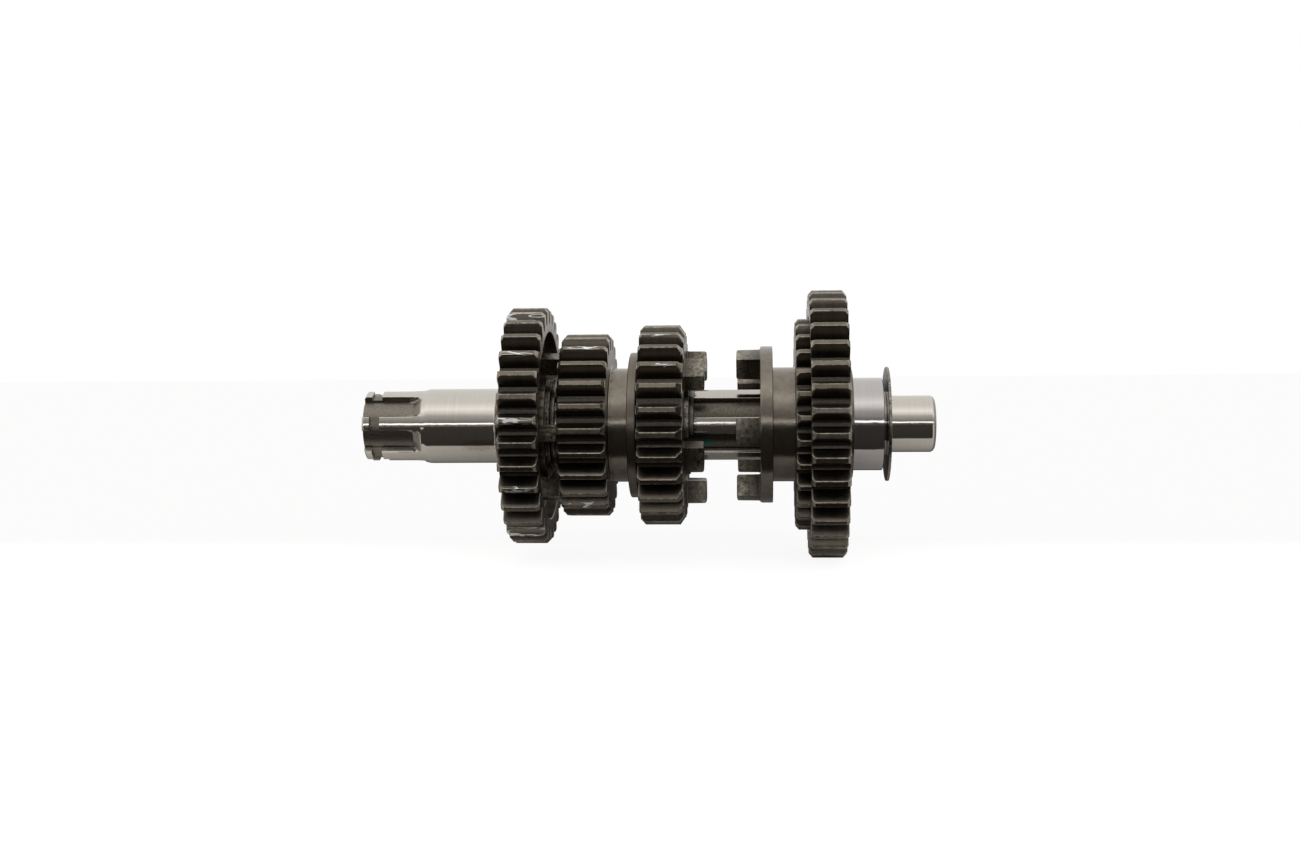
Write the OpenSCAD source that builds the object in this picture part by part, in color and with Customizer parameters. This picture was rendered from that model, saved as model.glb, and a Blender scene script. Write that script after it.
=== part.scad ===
// Output shaft of a five-speed motorcycle gearbox, with its five gears, bushes, washers and circlips.
// The shaft's axis is X. The origin is the middle of the output journal, +X runs to the end pin, +Z is up.
// Turn angles are in degrees about +X by the right-hand rule, counted from the -Y side.

/* [Output shaft] */
// Diameter of the ground journal that the output bearing sits on
journal_d = 20; // [19:0.1:21]
// Length of that journal
journal_l = 18.8; // [16:0.2:24]
// Length of the fillet between the journal and the collar
collar_fillet = 1.5; // [1:0.1:2]
// Height of the collar over the journal that the second gear runs on
collar_lip = 1.5; // [1.2:0.1:2.5]
// Length of the collar
collar_l = 2.2; // [1.5:0.1:4]
// Height of the second gear's journal over the gear splines
second_journal_step = 1.25; // [1:0.05:1.6]
// Length of the plain shaft between the first gear's bush and the end shoulder
end_gap = 0.95; // [0.5:0.05:3]
// How far the plain section under the first gear stays below the gear splines
end_section_step = 1.25; // [0.5:0.05:2]
// Height of the shoulder over the end pin
end_shoulder = 1; // [0.7:0.1:2]
// Length of the end pin with its relief and chamfer
end_pin_l = 12.8; // [10:0.2:20]
// Width of the grinding relief at the root of the end pin
end_relief_w = 0.8; // [0.6:0.1:1.4]
// Depth of that relief
end_relief_depth = 0.2; // [0.1:0.05:0.4]
// Chamfer at the two ends of the shaft
shaft_chamfer = 1.1; // [0.5:0.1:1.6]
// Diameter of the centre drillings
centre_drill_d = 6; // [4:0.5:7]
// Depth of the cone of a centre drilling
centre_cone_l = 2.6; // [2:0.1:3]

/* [Sprocket splines] */
// Length of the splined end, from its tip to the journal
sprocket_l = 15.6; // [13:0.2:24]
// How far the sprocket splines stay below the journal
sprocket_step = 0.3; // [0.1:0.1:0.6]
// Depth of the sprocket splines
sprocket_depth = 1.55; // [1.2:0.05:2]
// Number of sprocket splines
sprocket_count = 6; // [4:1:8]
// Width of one sprocket spline
sprocket_tooth_w = 3.6; // [3:0.1:4.2]
// Turn of the first sprocket spline
sprocket_phase = -8.8; // [-30:0.1:30]
// Length of the cutter's run-out at the end of the spline floor
sprocket_runout = 2.4; // [1.5:0.1:3]
// Plain length between the run-out and the journal
sprocket_land = 0.8; // [0.4:0.1:2]
// Distance from the tip to the sprocket retainer's groove
retainer_inset = 2.05; // [1.6:0.05:3]
// Width of the retainer's groove
retainer_w = 2.7; // [1.5:0.1:3.2]
// Depth of the retainer's groove
retainer_depth = 1; // [0.5:0.1:1.4]

/* [Gear splines] */
// Outer diameter of the splines that carry the sliding gears
spline_d = 19.5; // [18:0.1:21]
// Depth of those splines
spline_depth = 1.2; // [0.9:0.05:1.5]
// Number of gear splines
spline_count = 6; // [4:1:8]
// Width of one gear spline
spline_tooth_w = 4.4; // [3.6:0.1:5]
// Turn of the first gear spline
spline_phase = -3.3; // [-30:0.1:30]
// Depth of the circlip grooves
circlip_groove_depth = 0.8; // [0.5:0.05:1]

/* [Second gear] */
// Number of teeth
second_teeth = 32; // [28:1:36]
// Outside diameter
second_od = 63.2; // [59:0.1:66]
// Width over the teeth
second_w = 10.1; // [9:0.1:12]
// Turn of the first tooth
second_phase = -6.9; // [-12:0.1:12]
// Wall of the hub over the journal
second_hub_wall = 3; // [2.4:0.1:4]
// How far the hub stands back from the right face
second_hub_step = 0.2; // [0.1:0.1:0.6]
// Wall of the rim between the tooth gaps and the recess in each face
second_rim_wall = 2.4; // [1.8:0.1:3.4]
// Depth of the right recess, which the fifth gear's dogs reach into
second_recess_depth = 3.4; // [2.8:0.1:4]
// Thickness of the web with the dog windows
second_web_t = 4; // [3:0.1:5]
// Free turn that a window gives to the dog in it, enough for a dog to enter at either side
second_window_play = 25; // [19:1:32]
// Thickness of the plain thrust washer on the left
outer_washer_t = 1.2; // [0.8:0.1:2]
// How far that washer stands out past the collar
outer_washer_lip = 0.5; // [0.2:0.1:2]

/* [Fifth gear] */
// Number of teeth
fifth_teeth = 24; // [20:1:28]
// Outside diameter
fifth_od = 48.7; // [46:0.1:51]
// Width over the teeth
fifth_w = 12.6; // [11:0.1:14]
// Turn of the first tooth
fifth_phase = -1.2; // [-12:0.1:12]
// Gap between the second and fifth gears
fifth_gap = 4; // [3.9:0.1:5]
// Outer diameter of the dogs
fifth_dog_d = 40.2; // [39:0.1:41]
// Length of the dogs
fifth_dog_l = 6.3; // [5:0.1:7]
// Angle that one dog spans
fifth_dog_deg = 12.5; // [10:0.5:16]
// Turn of the first dog
fifth_dog_phase = 1.2; // [-6:0.1:6]
// Diameter of the flange beside the fork groove
fifth_flange_d = 38.8; // [38:0.1:42]
// Thickness of that flange
fifth_flange_t = 2.4; // [2:0.1:4]
// Width of the fork groove
fifth_groove_w = 5.2; // [4.6:0.1:6]
// How far the gear slides to lock the second gear
fifth_travel = 3.5; // [2.5:0.1:3.7]

/* [Fourth gear] */
// Number of teeth
fourth_teeth = 26; // [22:1:30]
// Outside diameter
fourth_od = 53.3; // [51:0.1:56]
// Width over the teeth
fourth_w = 11.7; // [11:0.1:14]
// Turn of the first tooth
fourth_phase = 0.8; // [-12:0.1:12]
// Gap between the fifth gear's flange and the fourth gear
fourth_gap = 0.5; // [0.4:0.1:2]
// Outer diameter of the dogs
fourth_dog_d = 42; // [41:0.1:43]
// Space on the radius between the gear's washer and its dogs
fourth_dog_space = 1.8; // [1:0.1:2.4]
// Length of the dogs
fourth_dog_l = 5.4; // [4:0.1:6]
// Angle that one dog spans
fourth_dog_deg = 19.5; // [17:0.5:22]
// Free angle between a dog and the third gear's dog beside it, which slides past it
dog_play = 0.6; // [0.4:0.1:3]
// Wall of the splined bush that the gear runs on, over the splines
fourth_bush_wall = 1.75; // [1.4:0.05:2.2]
// Thickness of each splined washer
washer_t = 1.1; // [0.8:0.1:1.4]
// How far the fourth gear's washers stand out past its bush
fourth_washer_lip = 1.7; // [1:0.1:2.4]
// How far the second gear's splined washer stands out past its journal
second_washer_lip = 1.3; // [0.8:0.1:1.6]
// Thickness of each circlip
circlip_t = 1.1; // [0.8:0.1:1.2]
// How far each circlip stands out past the splines
circlip_lip = 1.35; // [1:0.05:1.6]
// Angle of the opening in a circlip
circlip_open_deg = 52; // [30:1:70]
// Turn of the opening in the circlip on the right of the fourth gear
circlip_phase = 35; // [-180:1:180]

/* [Third gear] */
// Number of teeth
third_teeth = 28; // [26:1:30]
// Width over the teeth
third_w = 6.5; // [5:0.1:7]
// Turn of the first tooth
third_phase = -7.7; // [-12:0.1:12]
// Outer diameter of the left dogs
third_dog_d = 40.7; // [39:0.1:41]
// Space on the radius between the fourth gear's washer and the left dogs that slide over it
third_dog_space = 1; // [0.6:0.1:1.8]
// Length of the left dogs
third_dog_l = 6.3; // [5:0.1:7]
// Angle that one left dog spans
third_dog_deg = 20.5; // [18:0.5:22]
// Turn of the first left dog
third_dog_phase = 0.8; // [-6:0.1:6]
// Diameter of the flange between the dogs and the fork groove
third_flange_d = 41.7; // [41:0.1:44]
// Thickness of that flange
third_flange_t = 3.2; // [2.5:0.1:4]
// Width of the fork groove
third_groove_w = 5.9; // [5:0.1:6.4]
// Wall of the sliding gears' hubs over the splines, at the floor of their fork grooves
groove_wall = 5.45; // [4.6:0.05:5.8]
// Outer diameter of the right dogs, which lock the first gear
third_lock_d = 40.2; // [39:0.1:41]
// Length of the right dogs
third_lock_l = 2.8; // [2.4:0.1:3]
// Angle that one right dog spans
third_lock_deg = 16; // [12:0.5:17]
// How far the gear slides to lock the fourth gear
third_travel_left = 11.7; // [10:0.1:12.4]
// How far its dogs then overlap the fourth gear's dogs
fourth_lock_l = 3.5; // [2.5:0.1:4.4]
// How far the gear slides to lock the first gear
third_travel_right = 3; // [2.4:0.1:3]

/* [First gear] */
// Number of teeth
first_teeth = 36; // [34:1:40]
// Outside diameter
first_od = 70.9; // [66:0.1:76]
// Width over the teeth
first_w = 9.75; // [9:0.05:12]
// Turn of the first tooth
first_phase = 0; // [-12:0.1:12]
// How far the third gear's teeth show before the first gear's cup
third_shows = 3.55; // [3.2:0.05:3.6]
// Wall of the rim between the tooth gaps and the cup that takes the third gear's teeth
first_rim_wall = 2.7; // [2:0.1:4]
// Depth of that cup
cup_depth = 6.25; // [6.2:0.05:7]
// Wall of the hub boss on the right over the bush
first_boss_wall = 2.2; // [1.6:0.1:3]
// Length of that boss
first_boss_l = 1.7; // [1:0.1:3]
// Free turn that a window gives to the dog in it, enough for a dog to enter at either side
first_window_play = 38; // [37:0.5:40]
// Wall between that bush and the windows
first_hub_wall = 2.3; // [1.8:0.1:3.4]
// Wall of the bush that the gear runs on, over the plain section
first_bush_wall = 3.8; // [3:0.1:4.6]
// Length of that bush
first_bush_l = 13.15; // [10:0.05:16]
// Thickness of the thrust washer at the left of the bush
thrust_washer_t = 1; // [0.8:0.1:1.2]
// How far that washer stands out past the plain section
thrust_washer_lip = 3.5; // [2.4:0.1:3.8]
// How far the thin washer on the end pin stands out past the bush
end_washer_lip = 2.85; // [1.5:0.05:4]
// Thickness of that thin washer
end_washer_t = 0.7; // [0.4:0.1:1]

/* [Fits] */
// Running clearance on the radius between a gear and what it turns on
run_gap = 0.04; // [0.02:0.01:0.08]
// Clearance on each side between splines and what slides on them
slide_gap = 0.1; // [0.05:0.01:0.15]
// Clearance on the radius between a loose ring and its seat
ring_gap = 0.05; // [0.03:0.01:0.1]
// End float between parts that touch when the box is assembled
end_float = 0.05; // [0.03:0.01:0.1]
// Clearance on the radius between a dog and the hub or window edge beside it
dog_gap = 0.6; // [0.4:0.05:0.8]
// Clearance on the radius between the third gear's teeth and the first gear's cup
cup_gap = 0.5; // [0.4:0.05:0.7]
// Clearance between a counterbore and the ring inside it
counterbore_gap = 0.5; // [0.3:0.05:1]

/* [Teeth and edges] */
// Pressure angle of the gear teeth
pressure_deg = 20; // [17.5:0.5:25]
// Chamfer at the ends of the gear teeth
tooth_chamfer = 0.9; // [0.4:0.1:1]
// Axial length of the fourth gear's larger right chamfer
fourth_chamfer_l = 1.5; // [1:0.1:2]
// Radial depth of that chamfer
fourth_chamfer_depth = 2; // [1.2:0.1:2.4]
// Number of dogs and windows on each dog ring
dog_count = 5; // [3:1:5]
// Free angle on one side of the fifth gear's dogs in their windows when the gears stand as drawn
second_rest_deg = 3.5; // [1:0.5:8]
// Free angle on one side of the third gear's dogs in their windows when the gears stand as drawn
first_rest_deg = 1; // [0.5:0.5:8]
// Chamfer at the outer end edge of each dog
dog_chamfer = 0.5; // [0.2:0.1:0.8]
// Chamfer on turned edges
edge_chamfer = 0.4; // [0.2:0.1:0.6]

/* [Hidden] */
$fn = 96;

// Overshoot of cutting shapes
past = 1;
// Share of the module between the pitch circle and the floor of a tooth gap
dedendum = 1.25;
// Backlash taken off each tooth's thickness
backlash = 0.1;
// Points along each tooth flank above the root fillet
flank_points = 4;

// Radius at the floor of the tooth gaps
function root_radius(n, od) = od / (n + 2) * (n / 2 - dedendum);

// Diameters on the left end, from the journal inwards
sprocket_d = journal_d - 2 * sprocket_step;
sprocket_root_d = sprocket_d - 2 * sprocket_depth;
retainer_d = sprocket_d - 2 * retainer_depth;

// Diameters on and over the gear splines, from the splines outwards
spline_root_d = spline_d - 2 * spline_depth;
circlip_groove_d = spline_d - 2 * circlip_groove_depth;
circlip_d = spline_d + 2 * circlip_lip;
second_journal_d = spline_d + 2 * second_journal_step;
collar_d = second_journal_d + 2 * collar_lip;
outer_washer_d = collar_d + 2 * outer_washer_lip;
second_washer_d = second_journal_d + 2 * second_washer_lip;
second_hub_d = second_journal_d + 2 * second_hub_wall;
second_recess_d = 2 * (root_radius(second_teeth, second_od) - second_rim_wall);
second_window_id = second_hub_d + 2 * dog_gap;
fifth_dog_id = second_window_id + 2 * dog_gap;
groove_d = spline_d + 2 * groove_wall;
fourth_bush_d = spline_d + 2 * fourth_bush_wall;
fourth_washer_d = fourth_bush_d + 2 * fourth_washer_lip;
fourth_dog_id = fourth_washer_d + 2 * fourth_dog_space;
third_dog_id = fourth_washer_d + 2 * third_dog_space;

// Diameters on the right end, where the sliding gears are put on over the plain section
end_section_d = spline_d - 2 * end_section_step;
end_pin_d = end_section_d - 2 * end_shoulder;
thrust_washer_d = end_section_d + 2 * thrust_washer_lip;
first_bush_d = end_section_d + 2 * first_bush_wall;
first_boss_d = first_bush_d + 2 * first_boss_wall;
end_washer_d = first_bush_d + 2 * end_washer_lip;
first_window_id = first_bush_d + 2 * first_hub_wall;
third_lock_id = first_window_id + 2 * dog_gap;
cup_d = 2 * (root_radius(first_teeth, first_od) - first_rim_wall);
third_od = cup_d - 2 * cup_gap;

// Places along the shaft, from left to right
x_tip = -journal_l / 2 - sprocket_l;
x_spline_floor_end = -journal_l / 2 - sprocket_land - sprocket_runout;
x_journal_end = journal_l / 2;
x_collar = x_journal_end + collar_fillet;
x_outer_washer = x_collar + collar_l;
x_second = x_outer_washer + outer_washer_t;
x_second_end = x_second + second_w;
x_second_hub_end = x_second_end - second_hub_step;
x_second_washer = x_second_hub_end + end_float;
x_second_circlip = x_second_washer + washer_t + end_float;
x_fifth = x_second_end + fifth_gap;
x_fifth_groove = x_fifth + fifth_w;
x_fifth_flange = x_fifth_groove + fifth_groove_w;
x_fifth_end = x_fifth_flange + fifth_flange_t;
x_fourth = x_fifth_end + fourth_gap;
x_left_circlip = x_fourth + end_float;
x_left_washer = x_left_circlip + circlip_t;
x_bush = x_left_washer + washer_t + end_float;
x_fourth_end = x_fourth + fourth_w;
x_right_washer = x_fourth_end + 2 * end_float;
x_right_circlip = x_right_washer + washer_t + end_float;
x_third = x_fourth_end + fourth_dog_l + third_travel_left - fourth_lock_l + third_dog_l;
x_third_groove = x_third + third_flange_t;
x_third_teeth = x_third_groove + third_groove_w;
x_third_end = x_third_teeth + third_w;
x_first = x_third_teeth + third_shows;
x_first_web = x_first + cup_depth;
x_first_end = x_first + first_w;
x_thrust_washer = x_first_web - thrust_washer_t;
x_splines_end = x_thrust_washer - end_float;
x_shoulder = x_first_web + first_bush_l + end_gap;
x_pin_end = x_shoulder + end_pin_l;

// Angle from one dog to the next
pitch_deg = 360 / dog_count;
// Turn of the fourth gear's dogs, which stand just beside the third gear's dogs
fourth_dog_phase = third_dog_phase + (third_dog_deg + fourth_dog_deg) / 2 + dog_play;
// Turn of a window's middle from its dog's middle, so that the dog also enters after a turn of the gear
second_window_lead = second_rest_deg - second_window_play / 2;
first_window_lead = first_rest_deg - first_window_play / 2;

// Turns a shape drawn about Z onto the shaft's axis, with its base at x
module on_shaft(x) {
    translate([x, 0, 0]) rotate([0, 90, 0]) rotate([0, 0, -90]) children();
}

// A turned solid on the shaft's axis from its outline of [x, radius] points
module turned(outline) {
    on_shaft(0) rotate_extrude() polygon([for (p = outline) [p[1], p[0]]]);
}

// A plain ring from x to x + l
module ring(x, l, d, bore) {
    on_shaft(x) difference() {
        cylinder(h = l, d = d);
        translate([0, 0, -past]) cylinder(h = l + 2 * past, d = bore);
    }
}

// A bore or a counterbore from x to x + l
module bore(x, l, d) {
    on_shaft(x) cylinder(h = l, d = d);
}

// A corner of a wedge that is far enough out to pass a circle of radius r
function wedge_point(r, a) = 2 * r * [cos(a), sin(a)];

// Flat outline of a ring sector, spread evenly about angle a
module sector(r, ir, deg, a) {
    intersection() {
        difference() {
            circle(r = r);
            circle(r = ir);
        }
        polygon([[0, 0], wedge_point(r, a - deg / 2), wedge_point(r, a), wedge_point(r, a + deg / 2)]);
    }
}

// A ring of windows, or of plain blocks, from x to x + l
module window_ring(x, l, r, ir, deg, phase) {
    for (i = [0:dog_count - 1])
        on_shaft(x) linear_extrude(l) sector(r, ir, deg, phase + i * pitch_deg);
}

// A ring of dogs of length l that stand on the face at x and point along dir (-1 left, 1 right)
module dog_ring(x, dir, l, r, ir, deg, phase) {
    intersection() {
        window_ring(dir > 0 ? x - past : x - l, l + past, r, ir, deg, phase);
        turned([[x - dir * past, 0], [x - dir * past, r + past],
            [x + dir * (l - dog_chamfer - past), r + past], [x + dir * l, r - dog_chamfer],
            [x + dir * l, 0]]);
    }
}

// Involute of an angle, in degrees
function involute(a) = tan(a) * 180 / PI - a;

// Half the angle that a tooth fills at radius r, for a gear of n teeth and module m
function tooth_half(r, n, m) =
    let (pitch_r = m * n / 2, base_r = pitch_r * cos(pressure_deg))
    90 / n - backlash / 2 / pitch_r * 180 / PI + involute(pressure_deg)
        - involute(acos(base_r / max(r, base_r)));

// One side of a tooth as [radius, half angle] pairs, from the floor of the gap to the tip
function tooth_side(n, m) =
    let (tip_r = m * (n / 2 + 1), root_r = m * (n / 2 - dedendum), fillet = 0.3 * m,
        start_r = root_r + fillet)
    concat([[root_r, tooth_half(root_r, n, m) + fillet / root_r * 180 / PI]],
        [for (k = [0:flank_points - 1])
            let (r = start_r + (tip_r - start_r) * k / (flank_points - 1)) [r, tooth_half(r, n, m)]]);

// Outline of a spur gear with n teeth and outside diameter od
function gear_outline(n, od, phase) =
    let (side = tooth_side(n, od / (n + 2)), last = len(side) - 1)
    [for (i = [0:n - 1], k = [0:2 * last + 1])
        let (p = k <= last ? side[k] : side[2 * last + 1 - k],
            a = phase + i * 360 / n + (k <= last ? -p[1] : p[1]))
        p[0] * [cos(a), sin(a)]];

// Toothed blank of a gear with chamfered tooth ends: left and right are [length, depth] of the chamfers
module toothed(x, n, od, w, phase, left, right) {
    intersection() {
        on_shaft(x) linear_extrude(w) polygon(gear_outline(n, od, phase));
        turned([[x, 0], [x, od / 2 - left[1]], [x + left[0], od / 2], [x + w - right[0], od / 2],
            [x + w, od / 2 - right[1]], [x + w, 0]]);
    }
}

// Splines as a solid cross, or the gaps of a splined bore when gap is the clearance on each side
module splines(x, l, d, root_d, count, tooth_w, phase, gap = 0) {
    intersection() {
        bore(x, l, d + 2 * gap);
        union() {
            bore(x, l, root_d + 2 * gap);
            for (i = [0:count - 1])
                on_shaft(x) rotate([0, 0, phase + i * 360 / count])
                    translate([0, -tooth_w / 2 - gap, 0]) cube([d, tooth_w + 2 * gap, l]);
        }
    }
}

// Splined bore that slides on the gear splines
module splined_bore(x, l) {
    splines(x, l, spline_d, spline_root_d, spline_count, spline_tooth_w, spline_phase, slide_gap);
}

// A washer or bush with the splined bore
module splined_ring(x, l, d) {
    difference() {
        bore(x, l, d);
        splined_bore(x - past, l + 2 * past);
    }
}

// A flat circlip whose opening is at angle phase
module circlip(x, phase) {
    difference() {
        ring(x, circlip_t, circlip_d, circlip_groove_d + 2 * ring_gap);
        on_shaft(x - past) linear_extrude(circlip_t + 2 * past)
            sector(circlip_d, 1, circlip_open_deg, phase);
    }
}

// Groove for a circlip that lies at x
module circlip_groove(x) {
    ring(x - ring_gap, circlip_t + 2 * ring_gap, spline_d + 2, circlip_groove_d);
}

// Centre drilling whose mouth is at x, opening towards dir (-1 left, 1 right)
module centre_drill(x, dir) {
    turned([[x + dir, 0], [x + dir, centre_drill_d / 2], [x, centre_drill_d / 2],
        [x - dir * centre_cone_l, centre_drill_d / 6], [x - dir * centre_cone_l * 1.8, centre_drill_d / 6],
        [x - dir * centre_cone_l * 2, 0]]);
}

// The turned form of the shaft before its splines are cut
module shaft_blank() {
    tip_r = sprocket_d / 2;
    journal_r = journal_d / 2;
    pin_r = end_pin_d / 2;
    relief_r = pin_r - end_relief_depth;
    turned(concat(
        [[x_tip, 0], [x_tip, tip_r - shaft_chamfer], [x_tip + shaft_chamfer, tip_r],
            [-x_journal_end, tip_r], [-x_journal_end, journal_r], [x_journal_end, journal_r]],
        [for (a = [15:15:90])
            [x_journal_end + collar_fillet * sin(a),
                journal_r + (collar_d / 2 - edge_chamfer - journal_r) * (1 - cos(a))]],
        [[x_collar + edge_chamfer, collar_d / 2], [x_outer_washer, collar_d / 2],
            [x_outer_washer, second_journal_d / 2], [x_second_hub_end, second_journal_d / 2],
            [x_second_hub_end, spline_d / 2], [x_splines_end - edge_chamfer, spline_d / 2],
            [x_splines_end, spline_d / 2 - edge_chamfer], [x_splines_end, end_section_d / 2],
            [x_shoulder, end_section_d / 2], [x_shoulder, relief_r],
            [x_shoulder + end_relief_w, relief_r], [x_shoulder + end_relief_w, pin_r],
            [x_pin_end - shaft_chamfer, pin_r]],
        [for (a = [30:30:90])
            [x_pin_end - shaft_chamfer * (1 - sin(a)), pin_r - shaft_chamfer * (1 - cos(a))]],
        [[x_pin_end, 0]]));
}

// What the hob takes out between the sprocket splines, with the rounded run-out at its end
module sprocket_gaps() {
    floor_r = sprocket_root_d / 2;
    run_r = journal_d / 2 + past - floor_r;
    difference() {
        turned(concat([[x_tip - past, floor_r], [x_spline_floor_end, floor_r]],
            [for (a = [15:15:90])
                [x_spline_floor_end + (sprocket_runout + past) * sin(a), floor_r + run_r * (1 - cos(a))]],
            [[x_tip - past, floor_r + run_r]]));
        for (i = [0:sprocket_count - 1])
            on_shaft(x_tip - 2 * past) rotate([0, 0, sprocket_phase + i * 360 / sprocket_count])
                translate([0, -sprocket_tooth_w / 2, 0])
                    cube([sprocket_d, sprocket_tooth_w, sprocket_l + 2 * past]);
    }
}

module output_shaft() {
    splines_l = x_splines_end - x_second_hub_end;
    color("lightslategray") difference() {
        shaft_blank();
        sprocket_gaps();
        ring(x_tip + retainer_inset, retainer_w, sprocket_d + 2, retainer_d);
        difference() {
            ring(x_second_hub_end, splines_l + past, spline_d + 2, spline_root_d);
            splines(x_second_hub_end - past, splines_l + 3 * past, spline_d + 3, spline_root_d,
                spline_count, spline_tooth_w, spline_phase);
        }
        circlip_groove(x_second_circlip);
        circlip_groove(x_left_circlip);
        circlip_groove(x_right_circlip);
        centre_drill(x_tip, -1);
        centre_drill(x_pin_end, 1);
    }
}

module second_gear_outer_washer() {
    color("silver")
        ring(x_outer_washer, outer_washer_t - end_float, outer_washer_d, second_journal_d + 2 * ring_gap);
}

module second_gear() {
    chamfer = [tooth_chamfer, tooth_chamfer];
    web_x = x_second_end - second_recess_depth - second_web_t;
    left_depth = web_x - x_second;
    color("dimgray") difference() {
        toothed(x_second, second_teeth, second_od, second_w, second_phase, chamfer, chamfer);
        bore(x_second - past, second_w + 2 * past, second_journal_d + 2 * run_gap);
        ring(x_second_end - second_recess_depth, second_recess_depth + past, second_recess_d, second_hub_d);
        ring(x_second - past, left_depth + past, second_recess_d, second_hub_d);
        bore(x_second_hub_end, past, second_hub_d + past);
        window_ring(web_x - past, second_web_t + 2 * past, fifth_dog_d / 2 + dog_gap, second_window_id / 2,
            fifth_dog_deg + second_window_play, fifth_dog_phase + second_window_lead);
    }
}

module second_gear_splined_washer() {
    color("silver") splined_ring(x_second_washer, washer_t, second_washer_d);
}

module second_gear_circlip() {
    color("gray") circlip(x_second_circlip, circlip_phase + 180);
}

module fifth_gear() {
    chamfer = [tooth_chamfer, tooth_chamfer];
    clip_d = second_washer_d + 2 * counterbore_gap;
    clip_depth = x_second_circlip + circlip_t + counterbore_gap + fifth_travel - x_fifth;
    color("dimgray") difference() {
        union() {
            toothed(x_fifth, fifth_teeth, fifth_od, fifth_w, fifth_phase, chamfer, chamfer);
            bore(x_fifth + past, x_fifth_end - x_fifth - past, groove_d);
            turned([[x_fifth_flange, 0], [x_fifth_flange, fifth_flange_d / 2 - edge_chamfer],
                [x_fifth_flange + edge_chamfer, fifth_flange_d / 2],
                [x_fifth_end - edge_chamfer, fifth_flange_d / 2],
                [x_fifth_end, fifth_flange_d / 2 - edge_chamfer], [x_fifth_end, 0]]);
            dog_ring(x_fifth, -1, fifth_dog_l, fifth_dog_d / 2, fifth_dog_id / 2, fifth_dog_deg,
                fifth_dog_phase);
        }
        splined_bore(x_fifth - past, x_fifth_end - x_fifth + 2 * past);
        bore(x_fifth - past, clip_depth + past, clip_d);
    }
}

module fourth_gear_left_circlip() {
    color("gray") circlip(x_left_circlip, circlip_phase + 120);
}

module fourth_gear_left_washer() {
    color("silver") splined_ring(x_left_washer, washer_t, fourth_washer_d);
}

module fourth_gear_bush() {
    bush_l = x_right_washer - end_float - x_bush;
    color("tan") splined_ring(x_bush, bush_l, fourth_bush_d);
}

module fourth_gear() {
    pocket_depth = x_bush + end_float - x_fourth;
    color("dimgray") difference() {
        union() {
            toothed(x_fourth, fourth_teeth, fourth_od, fourth_w, fourth_phase,
                [tooth_chamfer, tooth_chamfer], [fourth_chamfer_l, fourth_chamfer_depth]);
            dog_ring(x_fourth_end, 1, fourth_dog_l, fourth_dog_d / 2, fourth_dog_id / 2, fourth_dog_deg,
                fourth_dog_phase);
        }
        bore(x_fourth - past, fourth_w + 2 * past, fourth_bush_d + 2 * run_gap);
        bore(x_fourth - past, pocket_depth + past, fourth_washer_d + 2 * counterbore_gap);
    }
}

module fourth_gear_right_washer() {
    color("silver") splined_ring(x_right_washer, washer_t, fourth_washer_d);
}

module fourth_gear_right_circlip() {
    color("gray") circlip(x_right_circlip, circlip_phase);
}

module third_gear() {
    chamfer = [tooth_chamfer, tooth_chamfer];
    washer_bore_d = thrust_washer_d + 2 * counterbore_gap;
    washer_depth = x_third_end - (x_thrust_washer - third_travel_right - counterbore_gap);
    flange_r = third_flange_d / 2;
    color("dimgray") difference() {
        union() {
            dog_ring(x_third, -1, third_dog_l, third_dog_d / 2, third_dog_id / 2, third_dog_deg,
                third_dog_phase);
            turned([[x_third, 0], [x_third, flange_r - edge_chamfer], [x_third + edge_chamfer, flange_r],
                [x_third_groove - edge_chamfer, flange_r], [x_third_groove, flange_r - edge_chamfer],
                [x_third_groove, 0]]);
            bore(x_third + past, third_flange_t + third_groove_w, groove_d);
            toothed(x_third_teeth, third_teeth, third_od, third_w, third_phase, chamfer, chamfer);
            dog_ring(x_third_end, 1, third_lock_l, third_lock_d / 2, third_lock_id / 2, third_lock_deg,
                third_dog_phase);
        }
        splined_bore(x_third - past, x_third_end - x_third + 2 * past);
        bore(x_third_end - washer_depth, washer_depth + past, washer_bore_d);
    }
}

module first_gear_thrust_washer() {
    color("silver")
        ring(x_thrust_washer, thrust_washer_t - end_float, thrust_washer_d, end_section_d + 2 * ring_gap);
}

module first_gear_bush() {
    r = first_bush_d / 2;
    x_end = x_first_web + first_bush_l;
    color("tan") difference() {
        turned([[x_first_web, 0], [x_first_web, r], [x_end - edge_chamfer, r],
            [x_end, r - edge_chamfer], [x_end, 0]]);
        bore(x_first_web - past, first_bush_l + 2 * past, end_section_d + 2 * ring_gap);
    }
}

module first_gear() {
    chamfer = [tooth_chamfer, tooth_chamfer];
    color("dimgray") difference() {
        union() {
            toothed(x_first, first_teeth, first_od, first_w, first_phase, chamfer, chamfer);
            bore(x_first_end - past, first_boss_l + past, first_boss_d);
        }
        bore(x_first - past, cup_depth + past, cup_d);
        bore(x_first, first_w + first_boss_l + past, first_bush_d + 2 * run_gap);
        window_ring(x_first_web - past, first_w - cup_depth + 2 * past, third_lock_d / 2 + dog_gap,
            first_window_id / 2, third_lock_deg + first_window_play, third_dog_phase + first_window_lead);
    }
}

module end_washer() {
    color("darkgray") ring(x_shoulder, end_washer_t, end_washer_d, end_pin_d + 2 * ring_gap);
}

output_shaft();
second_gear_outer_washer();
second_gear();
second_gear_splined_washer();
second_gear_circlip();
fifth_gear();
fourth_gear_left_circlip();
fourth_gear_left_washer();
fourth_gear_bush();
fourth_gear();
fourth_gear_right_washer();
fourth_gear_right_circlip();
third_gear();
first_gear_thrust_washer();
first_gear_bush();
first_gear();
end_washer();
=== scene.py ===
import bmesh
import bpy
import numpy as np
from mathutils import Matrix, Vector


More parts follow.
